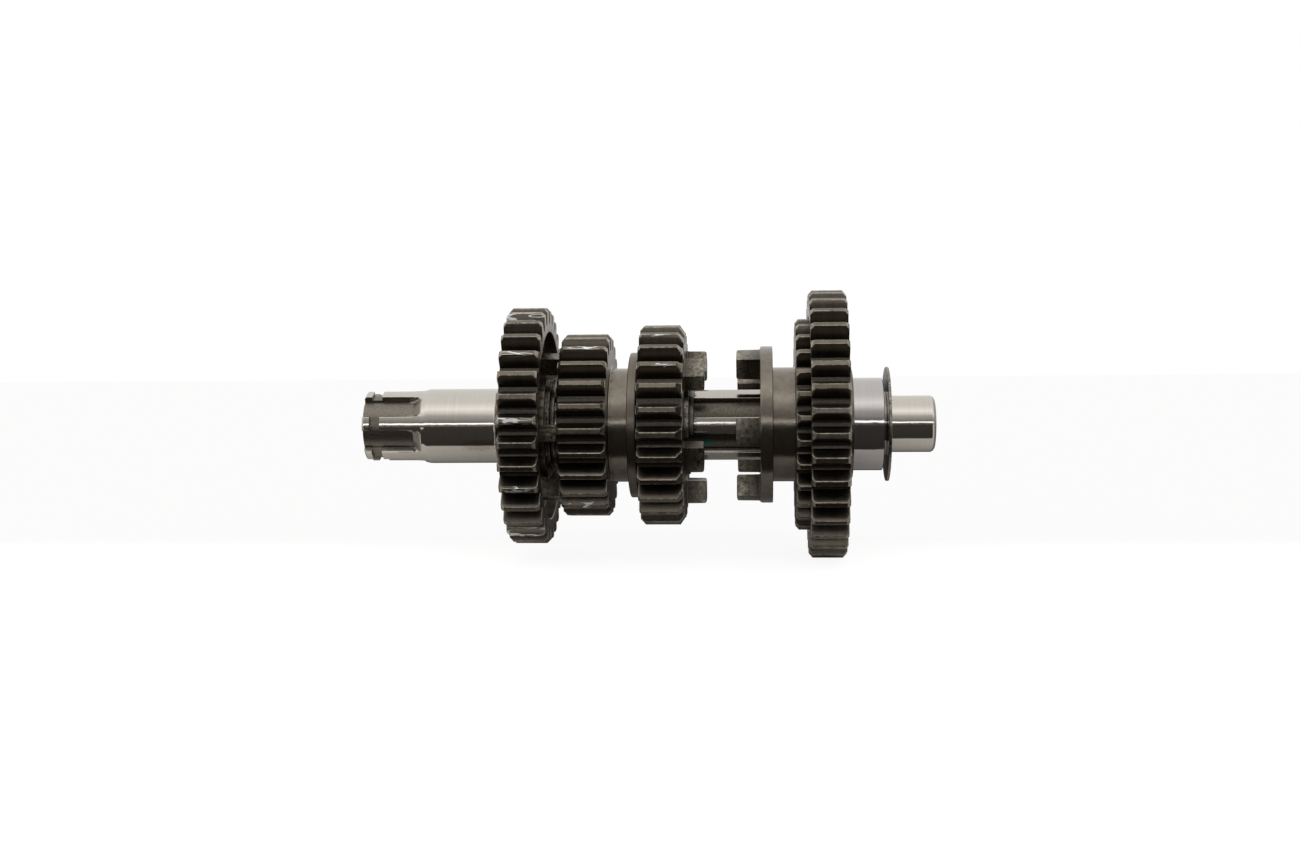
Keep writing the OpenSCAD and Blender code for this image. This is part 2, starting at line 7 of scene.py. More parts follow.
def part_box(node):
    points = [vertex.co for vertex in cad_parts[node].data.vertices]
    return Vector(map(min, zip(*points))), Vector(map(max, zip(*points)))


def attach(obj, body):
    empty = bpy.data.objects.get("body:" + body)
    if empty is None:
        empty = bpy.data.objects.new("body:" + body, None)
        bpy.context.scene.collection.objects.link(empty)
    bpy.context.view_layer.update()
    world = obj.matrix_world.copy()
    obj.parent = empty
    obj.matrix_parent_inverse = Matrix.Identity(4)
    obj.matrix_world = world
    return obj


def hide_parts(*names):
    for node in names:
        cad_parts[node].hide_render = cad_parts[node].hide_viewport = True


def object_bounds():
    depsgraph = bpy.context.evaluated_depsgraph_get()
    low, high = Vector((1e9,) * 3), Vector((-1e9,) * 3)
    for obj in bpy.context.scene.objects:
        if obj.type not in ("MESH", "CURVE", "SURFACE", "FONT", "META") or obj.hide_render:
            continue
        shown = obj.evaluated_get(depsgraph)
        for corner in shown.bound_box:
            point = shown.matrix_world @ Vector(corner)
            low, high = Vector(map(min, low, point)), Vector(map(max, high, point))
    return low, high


# The output shaft of a small motorcycle gearbox with its gears. The shaft lies along X and the camera
# looks along +Y. Sizes are in millimetres until a mesh is made, and turn angles are in degrees about +X
# from the -Y side.
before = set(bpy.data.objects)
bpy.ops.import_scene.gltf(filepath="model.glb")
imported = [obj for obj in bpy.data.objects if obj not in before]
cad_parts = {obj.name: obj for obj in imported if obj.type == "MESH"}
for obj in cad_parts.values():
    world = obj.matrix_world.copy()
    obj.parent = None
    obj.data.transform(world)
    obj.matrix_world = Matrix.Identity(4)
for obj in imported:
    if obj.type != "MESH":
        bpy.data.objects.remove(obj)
cad_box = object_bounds()

# Camera: a long lens about 0.44 m away, a little above the shaft and a little towards its end pin
PHOTO_SIZE = (1300, 867)
LENS_PX = 1645
SENSOR = 36.0
camera_aim = Vector((0.0511, 0.0, -0.0023))
camera_distance = 0.441
camera_azimuth, camera_elevation, camera_roll = np.radians([3.9, 5.0, -0.6])

camera_data = bpy.data.cameras.new("camera")
camera_data.sensor_width = SENSOR
camera_data.lens = SENSOR * LENS_PX / PHOTO_SIZE[0]
camera_data.clip_start = 0.01
camera = bpy.data.objects.new("camera", camera_data)
bpy.context.scene.collection.objects.link(camera)
bpy.context.scene.camera = camera
toward_camera = Vector((
    np.sin(camera_azimuth) * np.cos(camera_elevation),
    -np.cos(camera_azimuth) * np.cos(camera_elevation),
    np.sin(camera_elevation),
))
turn = toward_camera.to_track_quat("Z", "Y").to_matrix().to_4x4() @ Matrix.Rotation(camera_roll, 4, "Z")
camera.matrix_world = Matrix.Translation(camera_aim + toward_camera * camera_distance) @ turn
bpy.context.scene.view_settings.view_transform = "Standard"


def add_node(tree, kind, x=0, y=0, **sockets):
    """A shader node of a kind. A keyword sets an attribute of that name, or else the input socket."""
    node = tree.nodes.new(kind)
    node.location = (x, y)
    for name, value in sockets.items():
        if hasattr(node, name) and name != "inputs":
            setattr(node, name, value)
        else:
            node.inputs[name.replace("_", " ")].default_value = value
    return node


# Floor: a pale table that the largest gear stands on. The camera sees it white, with a faint shadow. Its
# colour also holds a painted shadow under and behind the shaft, which its reflections in the steel show,
# and it is pale again far away.
def stage_plane(name, corners, z, material):
    """A flat sheet between four corners at height z, in metres, that isn't part of the object."""
    mesh = bpy.data.meshes.new(name)
    mesh.from_pydata([(x, y, z) for x, y in corners], [], [(0, 1, 2, 3)])
    mesh.materials.append(material)
    plane = bpy.data.objects.new(name, mesh)
    bpy.context.scene.collection.objects.link(plane)
    return plane


floor_colour = (0.74, 0.725, 0.71)
floor_shadow_share = 0.25
floor_glow = 1.2
floor_material = bpy.data.materials.new("pale_table")
floor_material.use_nodes = True
tree = floor_material.node_tree
tree.nodes.clear()
place = add_node(tree, "ShaderNodeTexCoord", -1200, 0)
part = add_node(tree, "ShaderNodeSeparateXYZ", -1000, 0)
# Painted shadow: the floor colour falls to 0.4 of itself under and behind the shaft, and is pale again past 0.8 m.
painted_shadow_ramp = add_node(tree, "ShaderNodeMapRange", -800, 0)
painted_shadow_ramp.inputs["From Min"].default_value = -0.006
painted_shadow_ramp.inputs["From Max"].default_value = 0.03
painted_shadow_ramp.inputs["To Min"].default_value = 1.0
painted_shadow_ramp.inputs["To Max"].default_value = 0.4
far_off = add_node(tree, "ShaderNodeMapRange", -800, -300)
far_off.inputs["From Min"].default_value = 0.8
far_off.inputs["From Max"].default_value = 1.0
lighter = add_node(tree, "ShaderNodeMath", -600, -150, operation="MAXIMUM")
shaded = add_node(tree, "ShaderNodeVectorMath", -600, 0, operation="SCALE")
shaded.inputs[0].default_value = floor_colour
plain = add_node(tree, "ShaderNodeBsdfDiffuse", -400, 0)
lit = add_node(tree, "ShaderNodeEmission", -400, -200, Strength=floor_glow)
seen = add_node(tree, "ShaderNodeLightPath", -600, 300)
share = add_node(tree, "ShaderNodeMath", -400, 300, operation="MULTIPLY")
share.inputs[1].default_value = 1 - floor_shadow_share
mix = add_node(tree, "ShaderNodeMixShader", -200, 0)
out = add_node(tree, "ShaderNodeOutputMaterial", 0, 0)
tree.links.new(place.outputs["Object"], part.inputs[0])
tree.links.new(part.outputs["Y"], painted_shadow_ramp.inputs["Value"])
tree.links.new(part.outputs["Y"], far_off.inputs["Value"])
tree.links.new(painted_shadow_ramp.outputs[0], lighter.inputs[0])
tree.links.new(far_off.outputs[0], lighter.inputs[1])
tree.links.new(lighter.outputs[0], shaded.inputs["Scale"])
tree.links.new(shaded.outputs[0], plain.inputs["Color"])
tree.links.new(seen.outputs["Is Camera Ray"], share.inputs[0])
tree.links.new(share.outputs[0], mix.inputs[0])
tree.links.new(plain.outputs[0], mix.inputs[1])
tree.links.new(lit.outputs[0], mix.inputs[2])
tree.links.new(mix.outputs[0], out.inputs[0])
floor_z = cad_box[0].z - 0.0001
stage_plane("table", [(-3, -3), (3, -3), (3, 3), (-3, 3)], floor_z, floor_material)

# Black cards on the table before and behind the shaft, as a photographer lays them: only reflections
# show them, and they give the ground steel its dark lower band. They widen away from the shaft.
card_material = bpy.data.materials.new("black_card")
card_material.use_nodes = True
card_surface = card_material.node_tree.nodes["Principled BSDF"]
card_surface.inputs["Base Color"].default_value = (0.056, 0.051, 0.047, 1)
card_surface.inputs["Roughness"].default_value = 1.0
card_surface.inputs["Specular IOR Level"].default_value = 0.0
for name, left, near, far, spread in (("front_card", -0.11, -0.0265, -2.9, 1.4),
                                      ("back_card", -0.05, 0.04, 0.8, 0.4)):
    corners = [(left, near), (0.15, near), (0.15 + spread, far), (left - spread, far)]
    card = stage_plane(name, corners, floor_z + 0.0005, card_material)
    card.visible_camera = False
    card.visible_diffuse = False
    card.visible_shadow = False

# World: a white tent whose bands run along the shaft: dark at its foot, with a narrow bright gap above
# it. Heights are the sine of the angle that the shaft's cross-section shows, and each side has its own
# bands. The two ends are plain. Only reflections see all this, and the camera sees white.
FRONT_BANDS = (
    (-0.20, 0.04), (0.0, 0.06), (0.08, 0.13), (0.142, 0.22), (0.15, 2.7), (0.212, 2.7), (0.224, 0.3),
    (0.30, 0.26), (0.39, 0.42), (0.485, 0.5), (0.574, 0.58), (0.669, 0.84), (0.743, 1.12), (0.848, 1.4),
    (0.94, 1.2), (1.0, 1.0),
)
BACK_BANDS = ((-0.20, 1.0), (0.12, 1.0), (0.24, 0.9), (0.4, 0.95), (1.0, 1.0))
BAND_TOP = 3.0
END_LEVEL = 0.75


def band_ramp(tree, bands, y):
    """A ramp of grey levels over the height, divided by BAND_TOP, from a list of heights and levels."""
    span = add_node(tree, "ShaderNodeMapRange", -800, y)
    span.inputs["From Min"].default_value = bands[0][0]
    span.inputs["From Max"].default_value = bands[-1][0]
    grey = add_node(tree, "ShaderNodeValToRGB", -600, y)
    ramp = grey.color_ramp
    ramp.elements.remove(ramp.elements[-1])
    for n, (height, level) in enumerate(bands):
        place = (height - bands[0][0]) / (bands[-1][0] - bands[0][0])
        stop = ramp.elements[0] if n == 0 else ramp.elements.new(place)
        stop.position = place
        stop.color = (level / BAND_TOP, level / BAND_TOP, level / BAND_TOP, 1)
    tree.links.new(span.outputs[0], grey.inputs[0])
    return span.inputs["Value"], grey.outputs["Color"]


world = bpy.data.worlds.new("white_tent")
bpy.context.scene.world = world
world.use_nodes = True
tree = world.node_tree
tree.nodes.clear()
direction = add_node(tree, "ShaderNodeTexCoord", -1200, 0)
split = add_node(tree, "ShaderNodeSeparateXYZ", -1400, 0)
across = add_node(tree, "ShaderNodeCombineXYZ", -1200, 0)
unit = add_node(tree, "ShaderNodeVectorMath", -1100, 0, operation="NORMALIZE")
turned_to = add_node(tree, "ShaderNodeSeparateXYZ", -1000, 0)
end_share = add_node(tree, "ShaderNodeMath", -1200, 300, operation="ABSOLUTE")
toward_end = add_node(tree, "ShaderNodeMapRange", -1000, 300, interpolation_type="SMOOTHSTEP")
toward_end.inputs["From Min"].default_value = 0.8
toward_end.inputs["From Max"].default_value = 0.97
ends = add_node(tree, "ShaderNodeMix", -300, 100, data_type="RGBA")
ends.inputs["B"].default_value = (END_LEVEL / BAND_TOP, END_LEVEL / BAND_TOP, END_LEVEL / BAND_TOP, 1)
front_height, front_grey = band_ramp(tree, FRONT_BANDS, 0)
back_height, back_grey = band_ramp(tree, BACK_BANDS, -300)
behind = add_node(tree, "ShaderNodeMapRange", -600, 300, interpolation_type="SMOOTHSTEP")
behind.inputs["From Min"].default_value = -0.1
behind.inputs["From Max"].default_value = 0.1
sides = add_node(tree, "ShaderNodeMix", -400, 0, data_type="RGBA")
reflected = add_node(tree, "ShaderNodeBackground", -200, 0, Strength=BAND_TOP)
white = add_node(tree, "ShaderNodeBackground", -200, -200, Strength=1.0)
white.inputs["Color"].default_value = (1, 1, 1, 1)
seen = add_node(tree, "ShaderNodeLightPath", -400, 300)
mix = add_node(tree, "ShaderNodeMixShader", 0, 0)
out = add_node(tree, "ShaderNodeOutputWorld", 200, 0)
tree.links.new(direction.outputs["Generated"], split.inputs[0])
tree.links.new(split.outputs["X"], end_share.inputs[0])
tree.links.new(end_share.outputs[0], toward_end.inputs["Value"])
tree.links.new(split.outputs["Y"], across.inputs["Y"])
tree.links.new(split.outputs["Z"], across.inputs["Z"])
tree.links.new(across.outputs[0], unit.inputs[0])
tree.links.new(unit.outputs[0], turned_to.inputs[0])
tree.links.new(turned_to.outputs["Z"], front_height)
tree.links.new(turned_to.outputs["Z"], back_height)
tree.links.new(split.outputs["Y"], behind.inputs["Value"])
tree.links.new(behind.outputs[0], sides.inputs["Factor"])
tree.links.new(front_grey, sides.inputs["A"])
tree.links.new(back_grey, sides.inputs["B"])
tree.links.new(toward_end.outputs[0], ends.inputs["Factor"])
tree.links.new(sides.outputs["Result"], ends.inputs["A"])
tree.links.new(ends.outputs["Result"], reflected.inputs["Color"])
tree.links.new(seen.outputs["Is Camera Ray"], mix.inputs[0])
tree.links.new(reflected.outputs[0], mix.inputs[1])
tree.links.new(white.outputs[0], mix.inputs[2])
tree.links.new(mix.outputs[0], out.inputs[0])

# Output shaft: one forged, turned, splined and ground piece. Its journals are ground bright, and its
# spline floors keep the duller milled finish. It carries everything else.
MM = 0.001


def span_of(node):
    """Lowest and highest place of a CAD node along the shaft, in millimetres."""
    low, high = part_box(node)
    return low.x / MM, high.x / MM


def ring_mesh(name, x, r, angle, closed, dropped=None, walls=None, marks=None):
    """Mesh of a grid of rings about the shaft. Point (k, j) lies at x along the shaft, r out from its
    axis and angle degrees round it: (x, -r cos angle, -r sin angle). closed joins the last ring to the
    first one, dropped marks the cells that are left open, and walls adds cells by their grid indices.
    Each cell is split along the diagonal that stands further out, so that crossing faces meet sharply.
    marks are values from 0 to 1 at the points, such as wear, which the materials read by name."""
    rings, steps = r.shape
    a = np.radians(np.broadcast_to(angle, r.shape))
    points = np.stack([np.broadcast_to(x, r.shape), -r * np.cos(a), -r * np.sin(a)], -1) * MM
    k, j = np.meshgrid(np.arange(rings if closed else rings - 1), np.arange(steps), indexing="ij")
    after, beside = (k + 1) % rings, (j + 1) % steps
    cells = np.stack([k * steps + j, k * steps + beside, after * steps + beside, after * steps + j], -1)
    turned = r[k, j] + r[after, beside] < r[k, beside] + r[after, j]
    cells[turned] = np.roll(cells[turned], 1, axis=-1)
    cells = cells.reshape(-1, 4) if dropped is None else cells[~dropped[: len(k)]]
    if walls is not None:
        cells = np.concatenate([cells, walls])
    mesh = bpy.data.meshes.new(name)
    mesh.vertices.add(rings * steps)
    mesh.vertices.foreach_set("co", points.ravel())
    mesh.loops.add(cells.size)
    mesh.loops.foreach_set("vertex_index", cells.ravel().astype(np.int32))
    mesh.polygons.add(len(cells))
    mesh.polygons.foreach_set("loop_start", np.arange(0, cells.size, 4, dtype=np.int32))
    mesh.update(calc_edges=True)
    for mark, value in (marks or {}).items():
        layer = mesh.attributes.new(mark, "FLOAT", "POINT")
        layer.data.foreach_set("value", np.broadcast_to(value, r.shape).astype(np.float32).ravel())
    return mesh


def finish_piece(node, mesh, material, body, crease=28):
    """Merges the mesh's doubles, turns its faces outwards, and makes it the piece that stands for a
    CAD node and rides on its body. Edges that turn by more than crease degrees stay sharp."""
    shape = bmesh.new()
    shape.from_mesh(mesh)
    bmesh.ops.remove_doubles(shape, verts=shape.verts, dist=0.0005 * MM)
    bmesh.ops.dissolve_degenerate(shape, edges=shape.edges, dist=0.0005 * MM)
    loose = [v for v in shape.verts if not v.link_faces]
    bmesh.ops.delete(shape, geom=loose, context="VERTS")
    bmesh.ops.recalc_face_normals(shape, faces=shape.faces)
    shape.to_mesh(mesh)
    shape.free()
    mesh.shade_smooth()
    mesh.set_sharp_from_angle(angle=np.radians(crease))
    mesh.materials.append(material)
    piece = bpy.data.objects.new(node + "_finished", mesh)
    bpy.context.scene.collection.objects.link(piece)
    weigh = piece.modifiers.new("even faces", "WEIGHTED_NORMAL")
    weigh.keep_sharp = True
    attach(piece, body)
    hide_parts(node)
    return piece


def eased(points, reach, steps=3):
    """A line of (x, r) points whose inner corners are rounded by quadratic curves of that reach."""
    p = np.array(points, float)
    t = np.linspace(0, 1, steps + 1)[:, None]
    line = [p[:1]]
    for before, here, after in zip(p[:-2], p[1:-1], p[2:]):
        back, on = before - here, after - here
        a = here + back * min(0.45, reach / np.linalg.norm(back))
        b = here + on * min(0.45, reach / np.linalg.norm(on))
        line.append((1 - t) ** 2 * a + 2 * t * (1 - t) * here + t**2 * b)
    line.append(p[-1:])
    return np.concatenate(line)


def spline_profile(radius, floor, count, width, phase, ease=0.9):
    """Lines and radii of a splined section: straight-sided teeth of that width, whose tips fall off by
    0.12 mm over their last degrees, above a round floor. Returns the angles of its grid lines and a
    function from an array of angles to the section's radii."""
    top = np.degrees(np.arcsin(width / 2 / radius))
    foot = np.degrees(np.arcsin(width / 2 / floor))
    off = np.array([0, top - ease, top - ease / 2, top, (top + foot) / 2, foot, foot + 1])
    height = np.array([radius, radius, radius - 0.03, radius - 0.12, (radius + floor) / 2, floor, floor])
    centres = phase + np.arange(count) * 360 / count
    lines = (centres[:, None] + np.concatenate([off, -off])).ravel()
    pitch = 360 / count

    def radii(angle):
        away = np.abs((angle - phase + pitch / 2) % pitch - pitch / 2)
        return np.interp(away, off, height)

    return lines, radii


def merged_lines(*groups, gap=0.02):
    """All the angles in order round the circle, without those closer together than gap."""
    lines = np.sort(np.concatenate(groups) % 360)
    return lines[np.concatenate([[True], np.diff(lines) > gap])]


tip_x, pin_end_x = span_of("output_shaft")
journal_end = 9.4
journal_r, sprocket_r, spline_r, spline_floor_r = 10.0, 9.7, 9.75, 8.55
sprocket_floor_r, sprocket_runout, sprocket_land = 8.15, 2.4, -0.2
collar_end = span_of("second_gear_outer_washer")[0]
second_x, second_end = span_of("second_gear")
spline_x = second_end - 0.2
spline_end = span_of("first_gear_thrust_washer")[0] - 0.05
shoulder_x = span_of("end_washer")[0]
grooves = [(tip_x + 2.05, tip_x + 4.75, 8.7)] + [
    (span_of(node)[0] - 0.05, span_of(node)[1] + 0.05, 8.95)
    for node in ("second_gear_circlip", "fourth_gear_left_circlip", "fourth_gear_right_circlip")
]
flare = [(journal_end + 0.9 + 1.0 * np.sin(a), 10 + 2.1 * (1 - np.cos(a)))
         for a in np.radians(range(0, 91, 15))]
shaft_line = np.concatenate([
    eased([(tip_x + 5.2, 0.001), (tip_x + 4.7, 1), (tip_x + 2.6, 1), (tip_x, 3), (tip_x, 9.2),
           (tip_x + 0.5, sprocket_r), (tip_x + 1.6, sprocket_r)], 0.15),
    eased([(-journal_end - 0.6, sprocket_r), (-journal_end + 0.1, sprocket_r), (-journal_end + 1.3, journal_r),
           (-journal_end + 2.1, journal_r)], 0.4),
    flare,
    eased([(journal_end + 2.1, 12.5), (collar_end, 12.5), (collar_end, 11), (spline_x, 11),
           (spline_x, spline_r), (spline_x + 0.2, spline_r)], 0.1),
    eased([(spline_end - 1, spline_r), (spline_end - 0.4, spline_r), (spline_end, 9.35), (spline_end, 8.5),
           (shoulder_x, 8.5), (shoulder_x, 7.3), (shoulder_x + 0.8, 7.3), (shoulder_x + 0.95, 7.5),
           (pin_end_x - 1.0, 7.5), (pin_end_x - 0.4, 7.15), (pin_end_x, 6.5), (pin_end_x, 3),
           (pin_end_x - 2.6, 1), (pin_end_x - 4.7, 1), (pin_end_x - 5.2, 0.001)], 0.15),
])
# More rings where the splines run out, along the plain stretches, and at each edge of a groove
runout = -journal_end - sprocket_land - sprocket_runout + np.linspace(0, sprocket_runout, 9)
more = [runout, np.arange(tip_x + 6, pin_end_x - 2, 3.0)]
for low, high, _ in grooves:
    more.append([low - 0.12, low - 0.04, low, low + 0.02, high - 0.02, high, high + 0.04, high + 0.12])
more = np.sort(np.concatenate(more))
start = int(np.argmax(shaft_line[:, 1] == sprocket_r))
stop = len(shaft_line) - int(np.argmax(shaft_line[::-1, 1] > 7.49))
surface = shaft_line[start:stop]
more = more[(more > surface[0, 0]) & (more < surface[-1, 0])]
place = np.searchsorted(surface[:, 0], more)
added = np.stack([more, np.interp(more, surface[:, 0], surface[:, 1])], -1)
shaft_line = np.concatenate([shaft_line[:start], np.insert(surface, place, added, axis=0), shaft_line[stop:]])

sprocket_lines, sprocket_radii = spline_profile(sprocket_r, sprocket_floor_r, 6, 3.6, -8.8)
gear_spline_lines, gear_spline_radii = spline_profile(spline_r, spline_floor_r, 6, 4.4, -3.3)
angles = merged_lines(np.arange(0, 360, 2.5), sprocket_lines, gear_spline_lines)
x, r = shaft_line[:, :1], shaft_line[:, 1:]
shaft_r = np.repeat(r, len(angles), axis=1)
turned_r = shaft_r
from_land = np.abs((angles + 8.8) % 60 - 30)
corner = 1.3 * np.clip((from_land - 13) / 6, 0, 1) ** 2
climb = np.clip((x - runout[0] + corner) / sprocket_runout, 0, 1)
milled = sprocket_radii(angles) + (sprocket_r - sprocket_floor_r) * climb
shaft_r = np.where((x <= runout[-1]) & (r > 7), np.minimum(shaft_r, milled), shaft_r)
hobbed = (x > spline_x + 0.01) & (x < spline_end + 0.01) & (r > 7)
shaft_r = np.where(hobbed, np.minimum(shaft_r, gear_spline_radii(angles)), shaft_r)
for low, high, floor in grooves:
    edge = np.interp(x, [low - 0.12, low - 0.04, low, low + 0.01], [12, spline_r - 0.03, spline_r - 0.1, floor])
    edge = np.maximum(edge, np.interp(x, [high - 0.01, high, high + 0.04, high + 0.12],
                                      [floor, spline_r - 0.1, spline_r - 0.03, 12]))
    shaft_r = np.where(r > 7.6, np.minimum(shaft_r, edge), shaft_r)
cut = np.clip((turned_r - shaft_r - 0.05) / 0.2, 0, 1)
marks = {
    "cut": cut * np.where(x < 0, 1 - 0.15 * (climb > 0) * (climb < 1), 0) + 0.75 * (x > pin_end_x - 0.8),
    "hobbed": hobbed * (0.15 + 0.85 * cut) * np.ones_like(cut),
}
shaft_mesh = ring_mesh("output_shaft_turned", x, shaft_r, angles, closed=False, marks=marks)


# Steel finishes of this gearbox. Grinding and turning marks run round the shaft, so their pattern is
# drawn in the length along the shaft and barely changes round it.
def group_input(group, name, kind="NodeSocketFloat", value=None):
    socket = group.interface.new_socket(name=name, in_out="INPUT", socket_type=kind)
    if value is not None:
        socket.default_value = value


def turning_marks_group():
    """Fine rings round the shaft: noise stretched round the axis. Puts out a mask and a height."""
    group = bpy.data.node_groups.new("turning_marks", "ShaderNodeTree")
    group_input(group, "Marks per mm", value=6.0)
    group_input(group, "Seed", value=0.0)
    for name in ("Mask", "Height"):
        group.interface.new_socket(name=name, in_out="OUTPUT", socket_type="NodeSocketFloat")
    enter = add_node(group, "NodeGroupInput", -900, 0)
    leave = add_node(group, "NodeGroupOutput", 400, 0)
    place = add_node(group, "ShaderNodeTexCoord", -900, -200)
    part = add_node(group, "ShaderNodeSeparateXYZ", -700, -200)
    along = add_node(group, "ShaderNodeMath", -500, 0, operation="MULTIPLY")
    per_metre = add_node(group, "ShaderNodeMath", -700, 0, operation="MULTIPLY")
    per_metre.inputs[1].default_value = 1000.0
    around = add_node(group, "ShaderNodeCombineXYZ", -300, 0)
    scale_y = add_node(group, "ShaderNodeMath", -500, -200, operation="MULTIPLY")
    scale_y.inputs[1].default_value = 60.0
    scale_z = add_node(group, "ShaderNodeMath", -500, -350, operation="MULTIPLY")
    scale_z.inputs[1].default_value = 60.0
    fine = add_node(group, "ShaderNodeTexNoise", -100, 100, noise_dimensions="4D", Scale=1.0, Detail=3.0)
    broad = add_node(group, "ShaderNodeTexNoise", -100, -200, noise_dimensions="4D", Scale=0.12, Detail=2.0)
    blend = add_node(group, "ShaderNodeMath", 150, 0, operation="MULTIPLY_ADD")
    blend.inputs[1].default_value = 0.6
    half = add_node(group, "ShaderNodeMath", 0, -350, operation="MULTIPLY")
    half.inputs[1].default_value = 0.4
    link = group.links.new
    link(enter.outputs["Marks per mm"], per_metre.inputs[0])
    link(place.outputs["Object"], part.inputs[0])
    link(part.outputs["X"], along.inputs[0])
    link(per_metre.outputs[0], along.inputs[1])
    link(part.outputs["Y"], scale_y.inputs[0])
    link(part.outputs["Z"], scale_z.inputs[0])
    link(along.outputs[0], around.inputs["X"])
    link(scale_y.outputs[0], around.inputs["Y"])
    link(scale_z.outputs[0], around.inputs["Z"])
    for texture in (fine, broad):
        link(around.outputs[0], texture.inputs["Vector"])
        link(enter.outputs["Seed"], texture.inputs["W"])
    link(broad.outputs["Fac"], half.inputs[0])
    link(fine.outputs["Fac"], blend.inputs[0])
    link(half.outputs[0], blend.inputs[2])
    link(blend.outputs[0], leave.inputs["Mask"])
    link(fine.outputs["Fac"], leave.inputs["Height"])
    return group


turning_marks = turning_marks_group()


def spot_group():
    """A soft patch round a place: 1 at the middle, 0 past the reach, with a ragged edge."""
    group = bpy.data.node_groups.new("spot", "ShaderNodeTree")
    group_input(group, "Place", "NodeSocketVector")
    group_input(group, "Stretch", "NodeSocketVector", (1.0, 1.0, 1.0))
    group_input(group, "Reach", value=0.001)
    group_input(group, "Ragged", value=0.3)
    group.interface.new_socket(name="Mask", in_out="OUTPUT", socket_type="NodeSocketFloat")
    enter = add_node(group, "NodeGroupInput", -900, 0)
    leave = add_node(group, "NodeGroupOutput", 600, 0)
    place = add_node(group, "ShaderNodeTexCoord", -900, -200)
    away = add_node(group, "ShaderNodeVectorMath", -700, 0, operation="SUBTRACT")
    squeeze = add_node(group, "ShaderNodeVectorMath", -500, 0, operation="MULTIPLY")
    far = add_node(group, "ShaderNodeVectorMath", -300, 0, operation="LENGTH")
    ragged = add_node(group, "ShaderNodeTexNoise", -500, -300, Scale=1800.0, Detail=3.0)
    centred = add_node(group, "ShaderNodeMath", -300, -300, operation="SUBTRACT")
    centred.inputs[1].default_value = 0.5
    rough_edge = add_node(group, "ShaderNodeMath", -100, -300, operation="MULTIPLY")
    share = add_node(group, "ShaderNodeMath", -100, 0, operation="DIVIDE")
    moved = add_node(group, "ShaderNodeMath", 100, 0, operation="ADD")
    mask = add_node(group, "ShaderNodeMapRange", 300, 0, interpolation_type="SMOOTHSTEP")
    mask.inputs["From Min"].default_value = 1.0
    mask.inputs["From Max"].default_value = 0.6
    link = group.links.new
    link(place.outputs["Object"], away.inputs[0])
    link(enter.outputs["Place"], away.inputs[1])
    link(away.outputs[0], squeeze.inputs[0])
    link(enter.outputs["Stretch"], squeeze.inputs[1])
    link(squeeze.outputs[0], far.inputs[0])
    link(far.outputs["Value"], share.inputs[0])
    link(enter.outputs["Reach"], share.inputs[1])
    link(place.outputs["Object"], ragged.inputs["Vector"])
    link(ragged.outputs["Fac"], centred.inputs[0])
    link(centred.outputs[0], rough_edge.inputs[0])
    link(enter.outputs["Ragged"], rough_edge.inputs[1])
    link(share.outputs[0], moved.inputs[0])
    link(rough_edge.outputs[0], moved.inputs[1])
    link(moved.outputs[0], mask.inputs["Value"])
    link(mask.outputs[0], leave.inputs["Mask"])
    return group


spot = spot_group()


def grain_group():
    """Fine grain of forged or milled steel: a tone round 1, which varies by the contrast, and a height."""
    group = bpy.data.node_groups.new("grain", "ShaderNodeTree")
    group_input(group, "Grains per mm", value=4.0)
    group_input(group, "Contrast", value=0.3)
    for name in ("Tone", "Height"):
        group.interface.new_socket(name=name, in_out="OUTPUT", socket_type="NodeSocketFloat")
    enter = add_node(group, "NodeGroupInput", -900, 0)
    leave = add_node(group, "NodeGroupOutput", 400, 0)
    place = add_node(group, "ShaderNodeTexCoord", -900, -200)
    per_metre = add_node(group, "ShaderNodeMath", -700, 0, operation="MULTIPLY")
    per_metre.inputs[1].default_value = 1000.0
    noise = add_node(group, "ShaderNodeTexNoise", -500, 0, Detail=2.0, Roughness=0.65)
    centred = add_node(group, "ShaderNodeMath", -300, 0, operation="SUBTRACT")
    centred.inputs[1].default_value = 0.5
    spread = add_node(group, "ShaderNodeMath", -150, 0, operation="MULTIPLY")
    doubled = add_node(group, "ShaderNodeMath", 0, 0, operation="MULTIPLY_ADD")
    doubled.inputs[1].default_value = 4.0
    doubled.inputs[2].default_value = 1.0
    doubled.use_clamp = False
    link = group.links.new
    link(enter.outputs["Grains per mm"], per_metre.inputs[0])
    link(place.outputs["Object"], noise.inputs["Vector"])
    link(per_metre.outputs[0], noise.inputs["Scale"])
    link(noise.outputs["Fac"], centred.inputs[0])
    link(centred.outputs[0], spread.inputs[0])
    link(enter.outputs["Contrast"], spread.inputs[1])
    link(spread.outputs[0], doubled.inputs[0])
    link(doubled.outputs[0], leave.inputs["Tone"])
    link(noise.outputs["Fac"], leave.inputs["Height"])
    return group


grain = grain_group()


